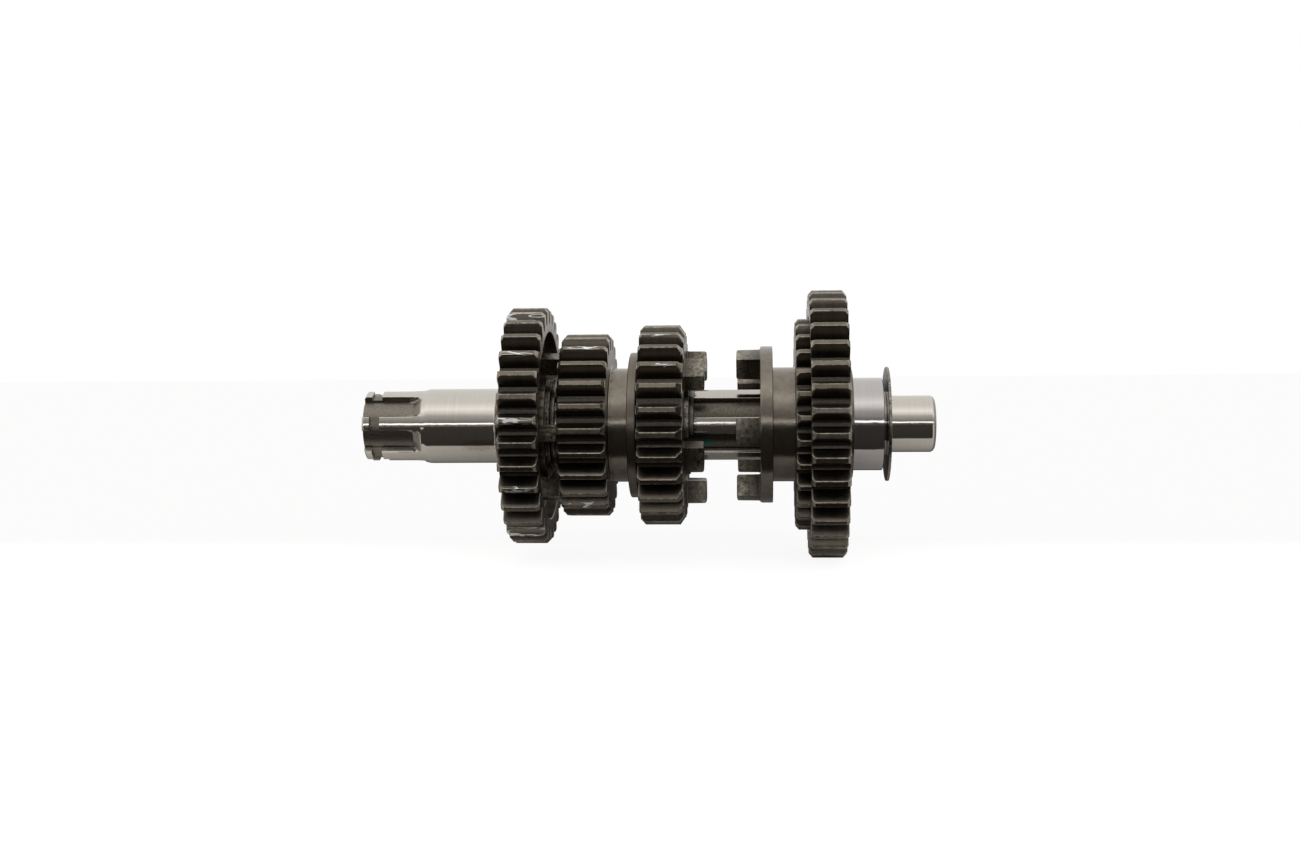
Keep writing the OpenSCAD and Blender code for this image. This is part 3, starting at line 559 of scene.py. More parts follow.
def steel(name, colour, roughness, marks=6.0, marks_depth=0.00002, shade=0.12, seed=0.0, waves=0.00004):
    """Bright or dark steel with turning marks in its colour, gloss and height, and waves that are a few
    millimetres wide, which bend its reflections. Returns its parts."""
    material = bpy.data.materials.new(name)
    material.use_nodes = True
    tree = material.node_tree
    surface = tree.nodes["Principled BSDF"]
    surface.inputs["Metallic"].default_value = 1.0
    rings = add_node(tree, "ShaderNodeGroup", -900, 100)
    rings.node_tree = turning_marks
    rings.inputs["Marks per mm"].default_value = marks
    rings.inputs["Seed"].default_value = seed
    tone = add_node(tree, "ShaderNodeMapRange", -700, 100)
    tone.inputs["From Min"].default_value = 0.3
    tone.inputs["From Max"].default_value = 0.7
    tone.inputs["To Min"].default_value = 1 - shade
    tone.inputs["To Max"].default_value = 1 + shade
    tint = add_node(tree, "ShaderNodeVectorMath", -500, 100, operation="SCALE")
    tint.inputs[0].default_value = colour
    gloss = add_node(tree, "ShaderNodeMapRange", -500, -150)
    gloss.inputs["From Min"].default_value = 0.3
    gloss.inputs["From Max"].default_value = 0.7
    gloss.inputs["To Min"].default_value = roughness * 0.85
    gloss.inputs["To Max"].default_value = roughness * 1.2
    wavy = add_node(tree, "ShaderNodeGroup", -900, -500)
    wavy.node_tree = grain
    wavy.inputs["Grains per mm"].default_value = 0.22
    swell = add_node(tree, "ShaderNodeBump", -700, -500, Strength=1.0, Distance=waves)
    bump = add_node(tree, "ShaderNodeBump", -500, -400, Strength=1.0, Distance=marks_depth)
    link = tree.links.new
    link(wavy.outputs["Height"], swell.inputs["Height"])
    link(swell.outputs[0], bump.inputs["Normal"])
    link(rings.outputs["Mask"], tone.inputs["Value"])
    link(rings.outputs["Mask"], gloss.inputs["Value"])
    link(rings.outputs["Height"], bump.inputs["Height"])
    link(tone.outputs[0], tint.inputs["Scale"])
    link(tint.outputs[0], surface.inputs["Base Color"])
    link(gloss.outputs[0], surface.inputs["Roughness"])
    link(bump.outputs[0], surface.inputs["Normal"])
    return {"material": material, "tree": tree, "surface": surface, "colour": tint.outputs[0],
            "gloss": gloss.outputs[0], "bump": bump}


def where_marked(finish, mark, colour, roughness, grains=4.0, contrast=0.0, depth=0.0, strength=1.0):
    """Gives a finish another colour, gloss and grain where the piece's own mark is set."""
    tree = finish["tree"]
    link = tree.links.new
    read = add_node(tree, "ShaderNodeAttribute", -700, 700, attribute_name=mark)
    amount = add_node(tree, "ShaderNodeMath", -500, 700, operation="MULTIPLY")
    amount.inputs[1].default_value = strength
    speckle = add_node(tree, "ShaderNodeGroup", -700, 500)
    speckle.node_tree = grain
    speckle.inputs["Grains per mm"].default_value = grains
    speckle.inputs["Contrast"].default_value = contrast
    toned = add_node(tree, "ShaderNodeVectorMath", -500, 500, operation="SCALE")
    toned.inputs[0].default_value = colour
    blend = add_node(tree, "ShaderNodeMix", -300, 500, data_type="RGBA")
    gloss = add_node(tree, "ShaderNodeMix", -300, 300, data_type="FLOAT")
    gloss.inputs[3].default_value = roughness
    link(read.outputs["Fac"], amount.inputs[0])
    link(speckle.outputs["Tone"], toned.inputs["Scale"])
    link(amount.outputs[0], blend.inputs["Factor"])
    link(finish["colour"], blend.inputs["A"])
    link(toned.outputs[0], blend.inputs["B"])
    link(blend.outputs["Result"], finish["surface"].inputs["Base Color"])
    link(amount.outputs[0], gloss.inputs["Factor"])
    link(finish["gloss"], gloss.inputs[2])
    link(gloss.outputs[0], finish["surface"].inputs["Roughness"])
    finish["colour"], finish["gloss"] = blend.outputs["Result"], gloss.outputs[0]
    if depth:
        raised = add_node(tree, "ShaderNodeMath", -300, -600, operation="MULTIPLY")
        bump = add_node(tree, "ShaderNodeBump", -100, -600, Strength=1.0, Distance=depth)
        link(amount.outputs[0], raised.inputs[0])
        link(speckle.outputs["Height"], raised.inputs[1])
        link(raised.outputs[0], bump.inputs["Height"])
        link(finish["bump"].outputs[0], bump.inputs["Normal"])
        link(bump.outputs[0], finish["surface"].inputs["Normal"])
        finish["bump"] = bump


def patch(finish, place, reach, colour, strength, stretch=(1, 1, 1), ragged=0.3):
    """Lays a coloured patch over a finish: place and reach are in millimetres."""
    tree = finish["tree"]
    where = add_node(tree, "ShaderNodeGroup", -500, 400)
    where.node_tree = spot
    where.inputs["Place"].default_value = [v * MM for v in place]
    where.inputs["Stretch"].default_value = stretch
    where.inputs["Reach"].default_value = reach * MM
    where.inputs["Ragged"].default_value = ragged
    weaker = add_node(tree, "ShaderNodeMath", -300, 400, operation="MULTIPLY")
    weaker.inputs[1].default_value = strength
    blend = add_node(tree, "ShaderNodeMix", -150, 300, data_type="RGBA")
    blend.inputs["B"].default_value = (*colour, 1)
    tree.links.new(where.outputs["Mask"], weaker.inputs[0])
    tree.links.new(weaker.outputs[0], blend.inputs["Factor"])
    tree.links.new(finish["colour"], blend.inputs["A"])
    tree.links.new(blend.outputs["Result"], finish["surface"].inputs["Base Color"])
    finish["colour"] = blend.outputs["Result"]
    return weaker.outputs[0]


ground = steel("ground_steel", (0.56, 0.525, 0.47), 0.085, marks=7.0, marks_depth=0.000008, shade=0.06, waves=0.000025)
where_marked(ground, "cut", (0.19, 0.17, 0.142), 0.36, grains=3.0, contrast=0.3, depth=0.00002)
where_marked(ground, "hobbed", (0.1, 0.088, 0.07), 0.3, grains=2.0, contrast=0.4, depth=0.00002)
patch(ground, (66.7, -7.62, -3.88), 1.5, (0.01, 0.13, 0.11), 0.75, stretch=(0.8, 1, 1), ragged=0.9)
patch(ground, (11.5, -11, 0), 1.0, (0.1, 0.045, 0.02), 0.85, stretch=(1, 0.03, 0.03), ragged=0.8)
patch(ground, (6, -8.9, -4.5), 3.0, (0.2, 0.12, 0.07), 0.35, stretch=(0.5, 1, 1.6), ragged=1.5)
finish_piece("output_shaft", shaft_mesh, ground["material"], "shaft")

# Outer washer: a plain thrust washer, stamped from steel, between the shaft's collar and the second gear.
ROUND = np.arange(0, 360, 3.0)


def washer_mesh(node, outer, bore, ease=0.15, angle=ROUND, bore_radii=None):
    """Ring of a rectangular section with eased corners, as long as its CAD node. The bore is round, or
    follows bore_radii round the shaft."""
    x0, x1 = span_of(node)
    middle = (outer + bore) / 2
    outside = eased([(x0, middle), (x0, outer), (x1, outer), (x1, middle)], ease)
    inside = eased([(x1, middle), (x1, bore), (x0, bore), (x0, middle)], ease)[1:-1]
    line = np.concatenate([outside, inside])
    x, r = line[:, :1], np.repeat(line[:, 1:], len(angle), axis=1)
    if bore_radii:
        r[len(outside):] += bore_radii(angle) - bore
    from_corner = np.maximum(np.abs(line[:, 1:] - outer), np.minimum(np.abs(x - x0), np.abs(x - x1)))
    edge = np.clip(1 - from_corner / 0.3, 0, 1)
    return ring_mesh(node + "_stamped", x, r, angle, closed=True, marks={"worn": edge})


washer_steel = steel("washer_steel", (0.08, 0.073, 0.066), 0.2, marks=3.0, shade=0.25)
where_marked(washer_steel, "worn", (0.34, 0.31, 0.27), 0.35, grains=1.8, contrast=1.2, depth=0.00006)
patch(washer_steel, (114, -4, -14.6), 2.2, (0.3, 0.13, 0.05), 0.8, ragged=0.8)
finish_piece("second_gear_outer_washer", washer_mesh("second_gear_outer_washer", 13.0, 11.05),
             washer_steel["material"], "shaft")

# Second gear: the free gear beside the collar, forged and cut from case-hardened steel. Its right face
# has a recess with five windows in its web, which the fifth gear's dogs enter.
PLAIN, RIM, SPLINED = 0, 1, 2
PRESSURE = np.radians(20)
DEDENDUM = 1.25
BACKLASH = 0.1
DOG_COUNT = 5
dog_foot, dog_edge = 0.5, 0.45


def tooth_outline(teeth, tip_r, corner=0.13):
    """Half of one involute tooth and of the gap beside it, as angles off the tooth's middle and radii.
    At radius r the half angle is 90/n less the backlash, plus inv(20 deg) - inv(acos(base / r)), where
    inv(a) = tan(a) - a. The tip is rounded over the length of corner and the floor has a fillet. The
    third array is how far each point lies from the edge between land and flank."""
    module = tip_r / (teeth / 2 + 1)
    pitch_r, root_r = module * teeth / 2, module * (teeth / 2 - DEDENDUM)
    base_r = pitch_r * np.cos(PRESSURE)

    def half(radius):
        slant = np.arccos(base_r / np.maximum(radius, base_r))
        inv = np.tan(PRESSURE) - PRESSURE - np.tan(slant) + slant
        return 90 / teeth + np.degrees(inv - BACKLASH / 2 / pitch_r)

    start_r = root_r + 0.35 * module
    flank = tip_r - np.array([corner, 0.3, 0.6, 0.9, *np.linspace(0.9, tip_r - start_r, 4)[1:]])
    corner_deg = np.degrees(corner / tip_r)
    gap = 180 / teeth
    foot_deg = half(start_r)
    floor_deg = min(foot_deg + np.degrees(0.35 * module / root_r), gap - 0.3)
    land = half(tip_r) - corner_deg * np.array([2.2, 1, 0.3])
    off = np.array([0, *land, *half(flank), foot_deg + 0.3 * (floor_deg - foot_deg), floor_deg, gap])
    radii = np.array([tip_r, tip_r, tip_r, tip_r - 0.3 * corner, *flank, root_r + 0.1 * module, root_r, root_r])
    from_edge = np.concatenate([np.radians(half(tip_r) - off[:4]) * tip_r, tip_r - radii[4:]])
    return off, radii, from_edge


def plain_rows(points, reach=0.2):
    """Rings of the turned line through the (x, r) points, with its corners eased over reach."""
    line = eased(points, reach)
    return np.column_stack([line, np.full(len(line), PLAIN), np.zeros(len(line))])


def face_rows(x, radii):
    """Rings of a flat face at x, at those radii in their order."""
    return np.array([(x, r, PLAIN, 0) for r in radii])


def rim_rows(x0, x1, tip_r, left=(0.9, 0.9), right=(0.9, 0.9), roll=0.14):
    """Rings of a toothed rim from its left face to its right one. Each ring holds a limit on the
    radius, which cuts the chamfers of length and depth left and right, and how far the teeth are drawn
    in along their own normal, which rolls their end edges."""
    steps = np.linspace(0, 1, 4)
    left_end = [(x0, tip_r - left[1], RIM, roll), (x0 + 0.3 * roll, tip_r - left[1], RIM, 0.3 * roll)]
    left_cut = [(x0 + roll + (left[0] - roll) * t, tip_r - left[1] * (1 - t), RIM, 0) for t in steps]
    right_cut = [(x1 - roll - (right[0] - roll) * t, tip_r - right[1] * (1 - t), RIM, 0) for t in steps[::-1]]
    right_end = [(x1 - 0.3 * roll, tip_r - right[1], RIM, 0.3 * roll), (x1, tip_r - right[1], RIM, roll)]
    middle = [(x, tip_r, RIM, 0) for x in np.linspace(x0 + left[0], x1 - right[0], 5)[1:-1]]
    return np.array(left_end + left_cut + middle + right_cut + right_end)


def splined_rows(x0, x1, mouth=0.4):
    """Rings of a splined bore from x0 to x1, going either way, set in by its mouth at both ends."""
    way = np.sign(x1 - x0)
    return np.array([(x, 0, SPLINED, 0) for x in np.linspace(x0 + way * mouth, x1 - way * mouth, 4)])


def dog_lines(inner, outer):
    """Radii of the rings that a row of dogs needs at its foot, walls and rounded edges."""
    off = np.array([-dog_foot, -0.3 * dog_foot, 0, 0.06, 0.06 + 0.3 * dog_edge, 0.06 + dog_edge])
    return np.concatenate([inner + off, [(inner + outer) / 2], outer - off[::-1]])


def dog_height(inside, height):
    """Height of a dog at a distance inside its outline: a fillet, a steep wall and a rounded edge."""
    u = [-dog_foot, -0.3 * dog_foot, 0, 0.06, 0.06 + 0.3 * dog_edge, 0.06 + dog_edge]
    h = [0, 0.25 * dog_foot, dog_foot, height - dog_edge, height - 0.25 * dog_edge, height]
    return np.interp(inside, u, h)


def gear_mesh(name, teeth, tip_r, phase, rows, dogs=(), window=None, turned_span=(0, 0)):
    """Mesh of a gear from its closed line of rings. Toothed rings follow the tooth outline up to their
    limit, splined rings the bore, and plain rings are round. A dog lifts the face that it stands on by
    the least of its heights across its two arcs and its two ends. window is (left face, right face,
    inner and outer radius, degrees, turn of its middle) of the openings through a web. Marks are set
    where edges are worn, down in the tooth gaps for a painted shade there, on the forged dogs, and
    where x in turned_span."""
    off, radii, from_edge = tooth_outline(teeth, tip_r)
    middles = phase + np.arange(teeth) * 360 / teeth
    lines = [(middles[:, None] + np.concatenate([off, -off[1:-1]])).ravel()]
    rings = np.arange(DOG_COUNT)[:, None] * 360 / DOG_COUNT
    for face, way, inner, outer, height, deg, turn in dogs:
        edge = np.degrees((dog_lines(0, 100)[:6] / (inner / 2 + outer / 2)))
        ends = np.concatenate([deg / 2 - edge, edge - deg / 2])
        lines.append((turn + rings + ends).ravel())
    if window:
        left, right, inner, outer, deg, turn = window
        soft = np.degrees(0.25 / outer)
        lines.append((turn + rings + np.array([-deg / 2 - soft, -deg / 2, deg / 2, deg / 2 + soft])).ravel())
    bored = (rows[:, 2] == SPLINED).any()
    bore_lines, bore_radii = spline_profile(spline_r + 0.1, spline_floor_r + 0.1, 6, 4.6, -3.3, ease=1.2)
    lines.append(bore_lines if bored else lines[0])
    angle = merged_lines(*lines)

    away = np.abs((angle - phase + 180 / teeth) % (360 / teeth) - 180 / teeth)
    outline = np.interp(away, off, radii) * np.exp(1j * np.radians(angle))
    along = np.roll(outline, -1) - np.roll(outline, 1)
    normal = -1j * along / np.abs(along)
    x, limit, kind, draw_in = (rows[:, n : n + 1] for n in range(4))
    rolled = outline - draw_in * normal
    r = np.where(kind == RIM, np.minimum(np.abs(rolled), limit), limit)
    r = np.where(kind == SPLINED, bore_radii(angle), r)
    turned = np.where(kind == RIM, np.degrees(np.angle(rolled)), angle)
    place = np.repeat(x, len(angle), axis=1)
    standing = np.zeros(r.shape, bool)
    for face, way, inner, outer, height, deg, turn in dogs:
        aside = np.abs((angle - turn + 36) % 72 - 36)
        inside = np.minimum(r - inner, outer - r)
        inside = np.minimum(inside, np.radians(deg / 2 - aside) * (inner + outer) / 2)
        lift = dog_height(inside, height)
        stood_on = (np.abs(x - face) < 1e-6) & (draw_in == 0) & (kind != SPLINED)
        place = np.where(stood_on, x + way * lift, place)
        standing = np.maximum(standing, (inside > 0.05) & (inside < 0.06 + dog_edge) & stood_on)
    rim = kind == RIM
    facet = rim & (limit < tip_r - 0.01) & (r > limit - 0.01)
    worn = np.clip(1 - np.interp(away, off, from_edge) / 0.17, 0, 1) * (rim & (limit > tip_r - 0.01))
    worn = np.maximum(worn, 0.4 * facet + 0.25 * (rim & (draw_in > 0) & (draw_in < 0.1)))
    worn = np.maximum(worn, 0.45 * standing)
    marks = {
        "worn": worn,
        # gap grows with the depth into a tooth gap, for a painted shade there.
        "gap": np.clip((tip_r - r) / (tip_r - radii[-1]), 0, 1) * rim,
        "forged": np.clip(np.abs(place - x) / 0.3, 0, 1),
        "turned": (kind == PLAIN) & (x > turned_span[0]) & (x < turned_span[1]),
    }
    if not window:
        return ring_mesh(name, place, r, turned, closed=True, marks=marks)

    aside = np.abs((angle - turn + 36) % 72 - 36)
    outside = np.maximum(np.maximum(inner - r, r - outer), np.radians(aside - deg / 2) * outer)
    dent = 0.2 * np.clip(1 - np.maximum(outside, 0) / 0.25, 0, 1)
    for face, way in ((left, 1), (right, -1)):
        place = np.where((kind == PLAIN) & (np.abs(x - face) < 1e-6), x + way * dent, place)
    middle = angle + (np.roll(angle, -1) - angle) % 360 / 2
    opened = np.abs((middle - turn + 36) % 72 - 36) < deg / 2
    at = {
        face: np.flatnonzero((np.abs(x[:, 0] - face) < 1e-6) & (limit[:, 0] > inner - 1e-6)
                             & (limit[:, 0] < outer + 1e-6) & (kind[:, 0] == PLAIN))
        for face in (left, right)
    }
    near, far = at[left], at[right][::-1]
    steps = len(angle)
    dropped = np.zeros(r.shape, bool)
    for rings_at in (near, far[::-1]):
        dropped[rings_at[0] : rings_at[-1]] = opened
    j = np.flatnonzero(opened)
    beside = (j + 1) % steps
    walls = [np.stack([a * steps + j, a * steps + beside, b * steps + beside, b * steps + j], -1)
             for a, b in ((near[0], far[0]), (near[-1], far[-1]))]
    j = np.flatnonzero(opened != np.roll(opened, 1))[:, None]
    walls.append(np.stack([near[:-1] * steps + j, near[1:] * steps + j, far[1:] * steps + j,
                           far[:-1] * steps + j], -1).reshape(-1, 4))
    walls = np.concatenate(walls)
    return ring_mesh(name, place, r, turned, closed=True, dropped=dropped, walls=walls, marks=marks)


def painted_glint_lines_group():
    """Thin wavy lines of painted highlight, as light on an oil film: where noise, drawn out along the
    shaft, is near a half.
    """
    group = bpy.data.node_groups.new("painted_glint_lines", "ShaderNodeTree")
    group_input(group, "Width", value=0.03)
    group.interface.new_socket(name="Mask", in_out="OUTPUT", socket_type="NodeSocketFloat")
    enter = add_node(group, "NodeGroupInput", -700, 0)
    leave = add_node(group, "NodeGroupOutput", 500, 0)
    place = add_node(group, "ShaderNodeTexCoord", -900, -200)
    drawn = add_node(group, "ShaderNodeMapping", -700, -200)
    drawn.inputs["Scale"].default_value = (0.16, 1, 1)
    noise = add_node(group, "ShaderNodeTexNoise", -500, -200, Scale=850.0, Detail=1.5)
    centred = add_node(group, "ShaderNodeMath", -300, -200, operation="SUBTRACT")
    centred.inputs[1].default_value = 0.5
    near = add_node(group, "ShaderNodeMath", -150, -200, operation="ABSOLUTE")
    share = add_node(group, "ShaderNodeMath", 0, 0, operation="DIVIDE")
    mask = add_node(group, "ShaderNodeMapRange", 200, 0, interpolation_type="SMOOTHSTEP")
    mask.inputs["From Min"].default_value = 1.0
    mask.inputs["From Max"].default_value = 0.5
    link = group.links.new
    link(place.outputs["Object"], drawn.inputs["Vector"])
    link(drawn.outputs[0], noise.inputs["Vector"])
    link(noise.outputs["Fac"], centred.inputs[0])
    link(centred.outputs[0], near.inputs[0])
    link(near.outputs[0], share.inputs[0])
    link(enter.outputs["Width"], share.inputs[1])
    link(share.outputs[0], mask.inputs["Value"])
    link(mask.outputs[0], leave.inputs["Mask"])
    return group


painted_glint_lines = painted_glint_lines_group()


def painted_oil_glint(finish, x, r, angle, reach, width=0.03, stretch=(0.18, 1, 1)):
    """Painted highlight: bright lines, as light on the oil film, on a tooth at x along the shaft, r out
    and angle degrees round it.
    """
    a = np.radians(angle)
    where = patch(finish, (x, -r * np.cos(a), -r * np.sin(a)), reach, (0.95, 0.95, 0.93), 1.0, stretch, 0.4)
    tree = finish["tree"]
    lines = add_node(tree, "ShaderNodeGroup", -500, 900)
    lines.node_tree = painted_glint_lines
    lines.inputs["Width"].default_value = width
    both = add_node(tree, "ShaderNodeMath", -300, 900, operation="MULTIPLY")
    blend = finish["colour"].node
    gloss = add_node(tree, "ShaderNodeMix", -100, 900, data_type="FLOAT")
    gloss.inputs[3].default_value = 0.6
    tree.links.new(where, both.inputs[0])
    tree.links.new(lines.outputs["Mask"], both.inputs[1])
    tree.links.new(both.outputs[0], blend.inputs["Factor"])
    tree.links.new(both.outputs[0], gloss.inputs["Factor"])
    tree.links.new(finish["gloss"], gloss.inputs[2])
    tree.links.new(gloss.outputs[0], finish["surface"].inputs["Roughness"])
    finish["gloss"] = gloss.outputs[0]


gear_steel = steel("gear_steel", (0.158, 0.137, 0.11), 0.3, marks=4.0, marks_depth=0.000012, shade=0.2,
                   waves=0.00006)
where_marked(gear_steel, "turned", (0.2, 0.176, 0.144), 0.2, grains=0.5, contrast=0.15)
# Painted shade: the gear steel darkens down in the tooth gaps, by the gap mark.
where_marked(gear_steel, "gap", (0.06, 0.053, 0.043), 0.36, grains=1.6, contrast=0.4, strength=0.85)
where_marked(gear_steel, "forged", (0.075, 0.066, 0.052), 0.36, grains=3.0, contrast=1.0, depth=0.00008)
where_marked(gear_steel, "worn", (0.45, 0.405, 0.325), 0.3, grains=0.9, contrast=1.0, depth=0.00003)
# Painted highlights on the oil film of the second, fifth and fourth gears' teeth.
for x, r, angle, reach, width in (
    (19, 31.4, -71.5, 2.0, 0.045), (18, 31.6, -40, 1.0, 0.04), (18.5, 31.6, -6.9, 1.5, 0.045),
    (18.5, 31.6, 26.2, 1.0, 0.045), (19.5, 31.4, 59.5, 2.0, 0.07), (35, 24.3, -61, 1.0, 0.04),
    (35, 24, 56, 1.2, 0.035), (55, 26.65, -66, 0.8, 0.025), (55, 26.65, -39.6, 0.7, 0.025),
):
    painted_oil_glint(gear_steel, x, r, angle, reach, width)
patch(gear_steel, (31.0, -9.9, -21.6), 2.4, (0.35, 0.14, 0.04), 0.85, ragged=1.2)
patch(gear_steel, (41.0, -10.1, -22.2), 1.8, (0.35, 0.14, 0.04), 0.7, ragged=1.2)
second_tip_r = 31.6
second_hub_r, second_bore_r = 14.0, 11.04
second_recess_r, second_recess = 25.0, 3.4
second_web = (second_end - second_recess - 4.0, second_end - second_recess)
second_hub_end = second_end - 0.2
window_radii = [14.6 - 0.25, 14.6, 17.6, 20.7, 20.7 + 0.25]
second_rows = np.concatenate([
    plain_rows([(second_x, second_bore_r + 0.4), (second_x, second_hub_r), (second_web[0], second_hub_r)]),
    face_rows(second_web[0], window_radii),
    plain_rows([(second_web[0], 21.5), (second_web[0], second_recess_r), (second_x, second_recess_r),
                (second_x, 27.5)], 0.35),
    rim_rows(second_x, second_end, second_tip_r),
    plain_rows([(second_end, 27.5), (second_end, second_recess_r), (second_web[1], second_recess_r),
                (second_web[1], 21.5)], 0.35),
    face_rows(second_web[1], window_radii[::-1]),
    plain_rows([(second_web[1], second_hub_r), (second_hub_end, second_hub_r),
                (second_hub_end, second_bore_r + 0.4)]),
    face_rows(second_hub_end - 0.4, [second_bore_r]),
    face_rows(second_x + 0.4, [second_bore_r]),
])
second_mesh = gear_mesh("second_gear_cut", 32, second_tip_r, -6.9, second_rows,
                        window=(*second_web, 14.6, 20.7, 37.5, 1.2 - 9))
finish_piece("second_gear", second_mesh, gear_steel["material"], "second")

# Washer and circlip of the second gear: the washer is stamped with the shaft's splines in its bore, and
# the circlip, bent from spring steel, sits open in its groove and holds it.
SPLINE_LINES, SPLINE_BORE = spline_profile(spline_r + 0.1, spline_floor_r + 0.1, 6, 4.6, -3.3, ease=1.2)
SPLINED_ANGLES = merged_lines(ROUND, SPLINE_LINES)
CIRCLIP_OPEN = 52


def circlip_mesh(node, opening, outer=11.1, inner=9.0, ease=0.2):
    """A flat ring with eased corners that is open over CIRCLIP_OPEN degrees round the turn opening. Each
    end is closed by strips between the opposite points of its section."""
    x0, x1 = span_of(node)
    middle = (outer + inner) / 2
    line = eased([(x0, middle), (x0, outer), (x1, outer), (x1, inner), (x0, inner), (x0, middle)], ease)[1:-1]
    angle = opening + np.linspace(CIRCLIP_OPEN / 2, 360 - CIRCLIP_OPEN / 2, 100)
    x, r = line[:, :1], np.repeat(line[:, 1:], len(angle), axis=1)
    dropped = np.zeros(r.shape, bool)
    dropped[:, -1] = True
    count, steps = r.shape
    i = np.arange(count // 2 - 1)
    strip = np.stack([i, i + 1, count - 2 - i, count - 1 - i], -1) * steps
    walls = np.concatenate([strip, strip + steps - 1])
    from_corner = np.maximum(np.abs(r - outer), np.minimum(np.abs(x - x0), np.abs(x - x1)))
    edge = {"worn": np.clip(1 - from_corner / 0.25, 0, 1)}
    return ring_mesh(node + "_bent", x, r, angle, closed=True, dropped=dropped, walls=walls, marks=edge)


spring_steel = steel("spring_steel", (0.07, 0.063, 0.055), 0.3, marks=3.0)
where_marked(spring_steel, "worn", (0.4, 0.37, 0.32), 0.35, grains=2.0, contrast=0.8)
washer = washer_mesh("second_gear_splined_washer", 12.3, spline_floor_r + 0.1, 0.15, SPLINED_ANGLES, SPLINE_BORE)
finish_piece("second_gear_splined_washer", washer, washer_steel["material"], "shaft")
finish_piece("second_gear_circlip", circlip_mesh("second_gear_circlip", 215), spring_steel["material"],
             "shaft")

# Fifth gear: it slides on the splines. Its forged dogs reach into the second gear, and a fork runs in
# the groove between its teeth and its flange.
fifth_low, fifth_end = span_of("fifth_gear")
fifth_x = fifth_low + 6.3
fifth_teeth_end, fifth_flange_x = fifth_x + 12.6, fifth_end - 2.4
fifth_tip_r, hub_r, fifth_flange_r = 24.35, 15.2, 19.4
fifth_pocket_r, fifth_pocket_x = 12.8, fifth_x + 2.1
fifth_dog_rows = face_rows(fifth_x, dog_lines(15.2, 20.1))
fifth_dog_rows[fifth_dog_rows[:, 1] > 19.9, 2] = RIM
fifth_rows = np.concatenate([
    plain_rows([(fifth_pocket_x, 10.2), (fifth_pocket_x, fifth_pocket_r), (fifth_x, fifth_pocket_r),
                (fifth_x, 14.0)]),
    fifth_dog_rows,
    rim_rows(fifth_x, fifth_teeth_end, fifth_tip_r),
    plain_rows([(fifth_teeth_end, 20.0), (fifth_teeth_end, 17.0), (fifth_teeth_end, hub_r),
                (fifth_flange_x, hub_r), (fifth_flange_x, fifth_flange_r), (fifth_end, fifth_flange_r),
                (fifth_end, 10.2)], 0.4),
    splined_rows(fifth_end, fifth_pocket_x),
])
fifth_mesh = gear_mesh("fifth_gear_cut", 24, fifth_tip_r, -1.2, fifth_rows,
                       dogs=[(fifth_x, -1, 15.2, 20.1, 6.3, 12.5, 1.2)],
                       turned_span=(fifth_teeth_end + 0.1, fifth_flange_x + 0.1))
finish_piece("fifth_gear", fifth_mesh, gear_steel["material"], "fifth")

# Left circlip, left washer and bush of the fourth gear: they sit behind its left face. The bush is ground
# from bearing steel, with the shaft's splines in its bore.
bush_steel = steel("bush_steel", (0.47, 0.445, 0.43), 0.08, marks=6.0, marks_depth=0.000008, shade=0.05, seed=3.0)
where_marked(bush_steel, "worn", (0.62, 0.58, 0.5), 0.3, grains=2.0, contrast=0.4)
finish_piece("fourth_gear_left_circlip", circlip_mesh("fourth_gear_left_circlip", 155),
             spring_steel["material"], "shaft")
washer = washer_mesh("fourth_gear_left_washer", 13.2, spline_floor_r + 0.1, 0.15, SPLINED_ANGLES, SPLINE_BORE)
finish_piece("fourth_gear_left_washer", washer, washer_steel["material"], "shaft")
bush = washer_mesh("fourth_gear_bush", 11.5, spline_floor_r + 0.1, 0.3, SPLINED_ANGLES, SPLINE_BORE)
finish_piece("fourth_gear_bush", bush, bush_steel["material"], "shaft")

# Fourth gear: a free gear on a splined bush. Its right tooth ends are cut to points, and its dogs stand
# beside the third gear's.
fourth_x, fourth_high = span_of("fourth_gear")
fourth_end = fourth_high - 5.4
fourth_tip_r, fourth_bore_r = 26.65, 11.54
fourth_pocket_r, fourth_pocket_x = 13.7, fourth_x + 2.35
fourth_rows = np.concatenate([
    plain_rows([(fourth_pocket_x, fourth_bore_r + 0.3), (fourth_pocket_x, fourth_pocket_r),
                (fourth_x, fourth_pocket_r), (fourth_x, 22.2)]),
    rim_rows(fourth_x, fourth_end, fourth_tip_r, right=(1.5, 2.0)),
    face_rows(fourth_end, dog_lines(15, 21)[::-1]),
    plain_rows([(fourth_end, 14), (fourth_end, fourth_bore_r + 0.5), (fourth_end - 0.5, fourth_bore_r),
                (fourth_pocket_x + 0.3, fourth_bore_r)], 0.1),
])
fourth_mesh = gear_mesh("fourth_gear_cut", 26, fourth_tip_r, 0.8, fourth_rows,
                        dogs=[(fourth_end, 1, 15, 21, 5.4, 19.5, 21.4)])
finish_piece("fourth_gear", fourth_mesh, gear_steel["material"], "fourth")

# Right washer and right circlip of the fourth gear: they show between its dogs, dark and oily.
washer = washer_mesh("fourth_gear_right_washer", 13.2, spline_floor_r + 0.1, 0.15, SPLINED_ANGLES, SPLINE_BORE)
finish_piece("fourth_gear_right_washer", washer, washer_steel["material"], "shaft")
finish_piece("fourth_gear_right_circlip", circlip_mesh("fourth_gear_right_circlip", 35),
             spring_steel["material"], "shaft")

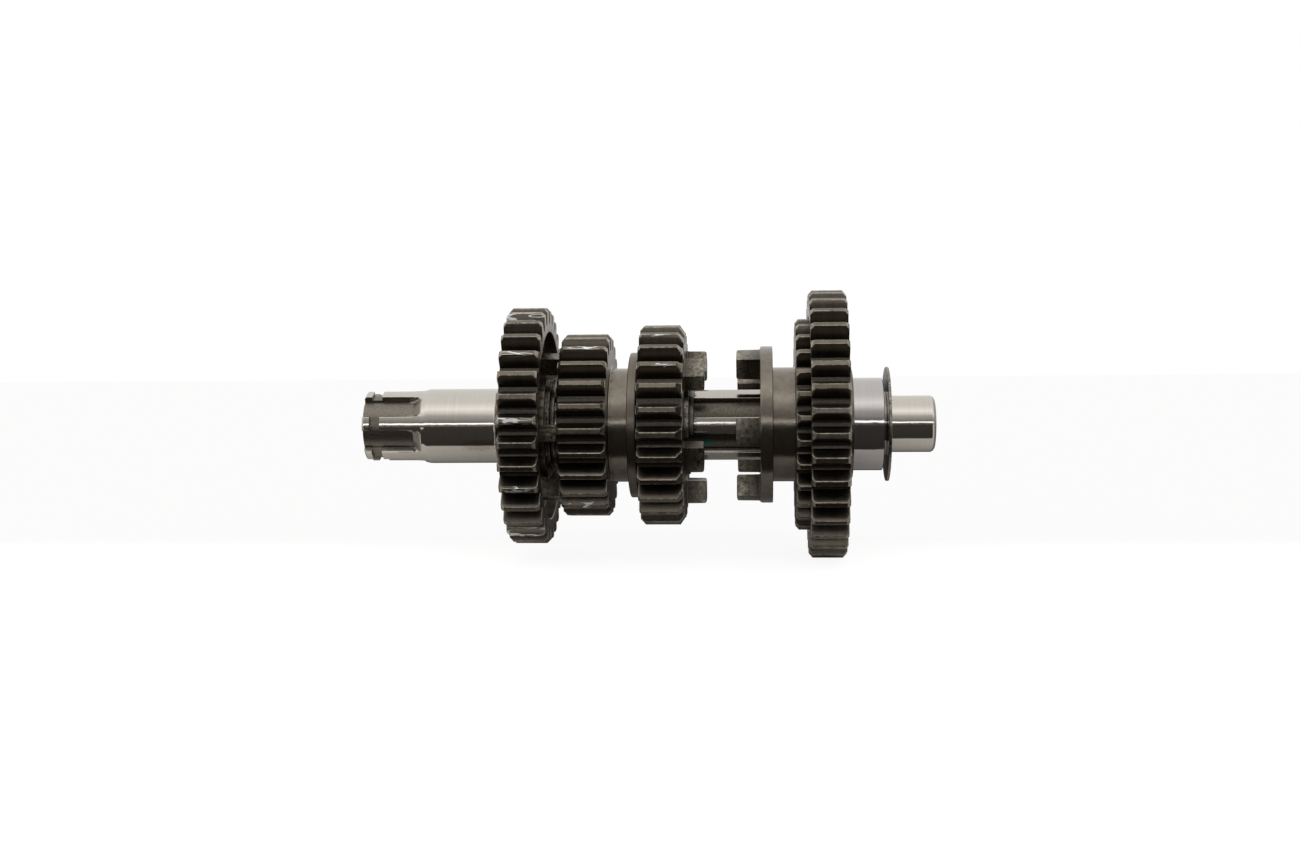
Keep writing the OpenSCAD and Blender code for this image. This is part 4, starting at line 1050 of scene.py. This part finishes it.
# Third gear: it slides on the splines. Its long dogs on the left take the fourth gear, its short ones
# on the right take the first, and a fork runs in its groove.
third_low, third_high = span_of("third_gear")
third_x, third_end = third_low + 6.3, third_high - 2.8
third_groove_x, third_teeth_x = third_x + 3.2, third_end - 6.5
third_tip_r, third_flange_r = 28.05, 20.85
third_pocket_r = 12.5
third_pocket_x = span_of("first_gear_thrust_washer")[0] - 3.5
third_rows = np.concatenate([
    face_rows(third_x, [10.2]),
    face_rows(third_x, dog_lines(14.2, 20.3)[:-1]),
    plain_rows([(third_x, 20.7), (third_x + 0.25, third_flange_r), (third_groove_x, third_flange_r),
                (third_groove_x, hub_r), (third_teeth_x, hub_r), (third_teeth_x, 23.8)], 0.25),
    rim_rows(third_teeth_x, third_end, third_tip_r),
    plain_rows([(third_end, 23.8), (third_end, 21)]),
    face_rows(third_end, dog_lines(15.2, 20.1)[::-1]),
    plain_rows([(third_end, 14), (third_end, third_pocket_r), (third_pocket_x, third_pocket_r),
                (third_pocket_x, 10.2)]),
    splined_rows(third_pocket_x, third_x),
])
third_mesh = gear_mesh("third_gear_cut", 28, third_tip_r, -7.7, third_rows,
                       dogs=[(third_x, -1, 14.2, 20.3, 6.3, 20.5, 0.8),
                             (third_end, 1, 15.2, 20.1, 2.8, 16, 0.8)],
                       turned_span=(third_x + 0.1, third_teeth_x - 0.1))
finish_piece("third_gear", third_mesh, gear_steel["material"], "third")

# Thrust washer and bush of the first gear: a plain washer at the end of the splines, and a long bush,
# ground bright, whose right half shows beside the gear.
finish_piece("first_gear_thrust_washer", washer_mesh("first_gear_thrust_washer", 12.0, 8.55),
             washer_steel["material"], "shaft")
finish_piece("first_gear_bush", washer_mesh("first_gear_bush", 12.3, 8.55, 0.3), bush_steel["material"],
             "shaft")

# First gear: the largest, a free gear on a long bush. Its cup takes part of the third gear's teeth, and
# its web has windows for the third gear's short dogs.
first_x, first_high = span_of("first_gear")
first_end = first_high - 1.7
first_web_x = first_x + 6.25
first_tip_r, first_bore_r, first_cup_r, first_boss_r = 35.45, 12.34, 28.55, 14.5
first_rows = np.concatenate([
    plain_rows([(first_web_x, first_bore_r + 0.4), (first_web_x, 14)]),
    face_rows(first_web_x, window_radii),
    plain_rows([(first_web_x, 21.5), (first_web_x, first_cup_r), (first_x, first_cup_r), (first_x, 31)], 0.4),
    rim_rows(first_x, first_end, first_tip_r),
    plain_rows([(first_end, 31), (first_end, 21.5)]),
    face_rows(first_end, window_radii[::-1]),
    plain_rows([(first_end, first_boss_r), (first_high, first_boss_r), (first_high, first_bore_r + 0.4),
                (first_high - 0.4, first_bore_r), (first_web_x + 0.4, first_bore_r)], 0.12),
])
first_mesh = gear_mesh("first_gear_cut", 36, first_tip_r, 0, first_rows,
                       window=(first_web_x, first_end, 14.6, 20.7, 54, 0.8 - 18))
finish_piece("first_gear", first_mesh, gear_steel["material"], "first")

# End washer: a thin stamped washer on the end pin, against the shaft's shoulder.
finish_piece("end_washer", washer_mesh("end_washer", 15.15, 7.55, 0.12), washer_steel["material"],
             "shaft")
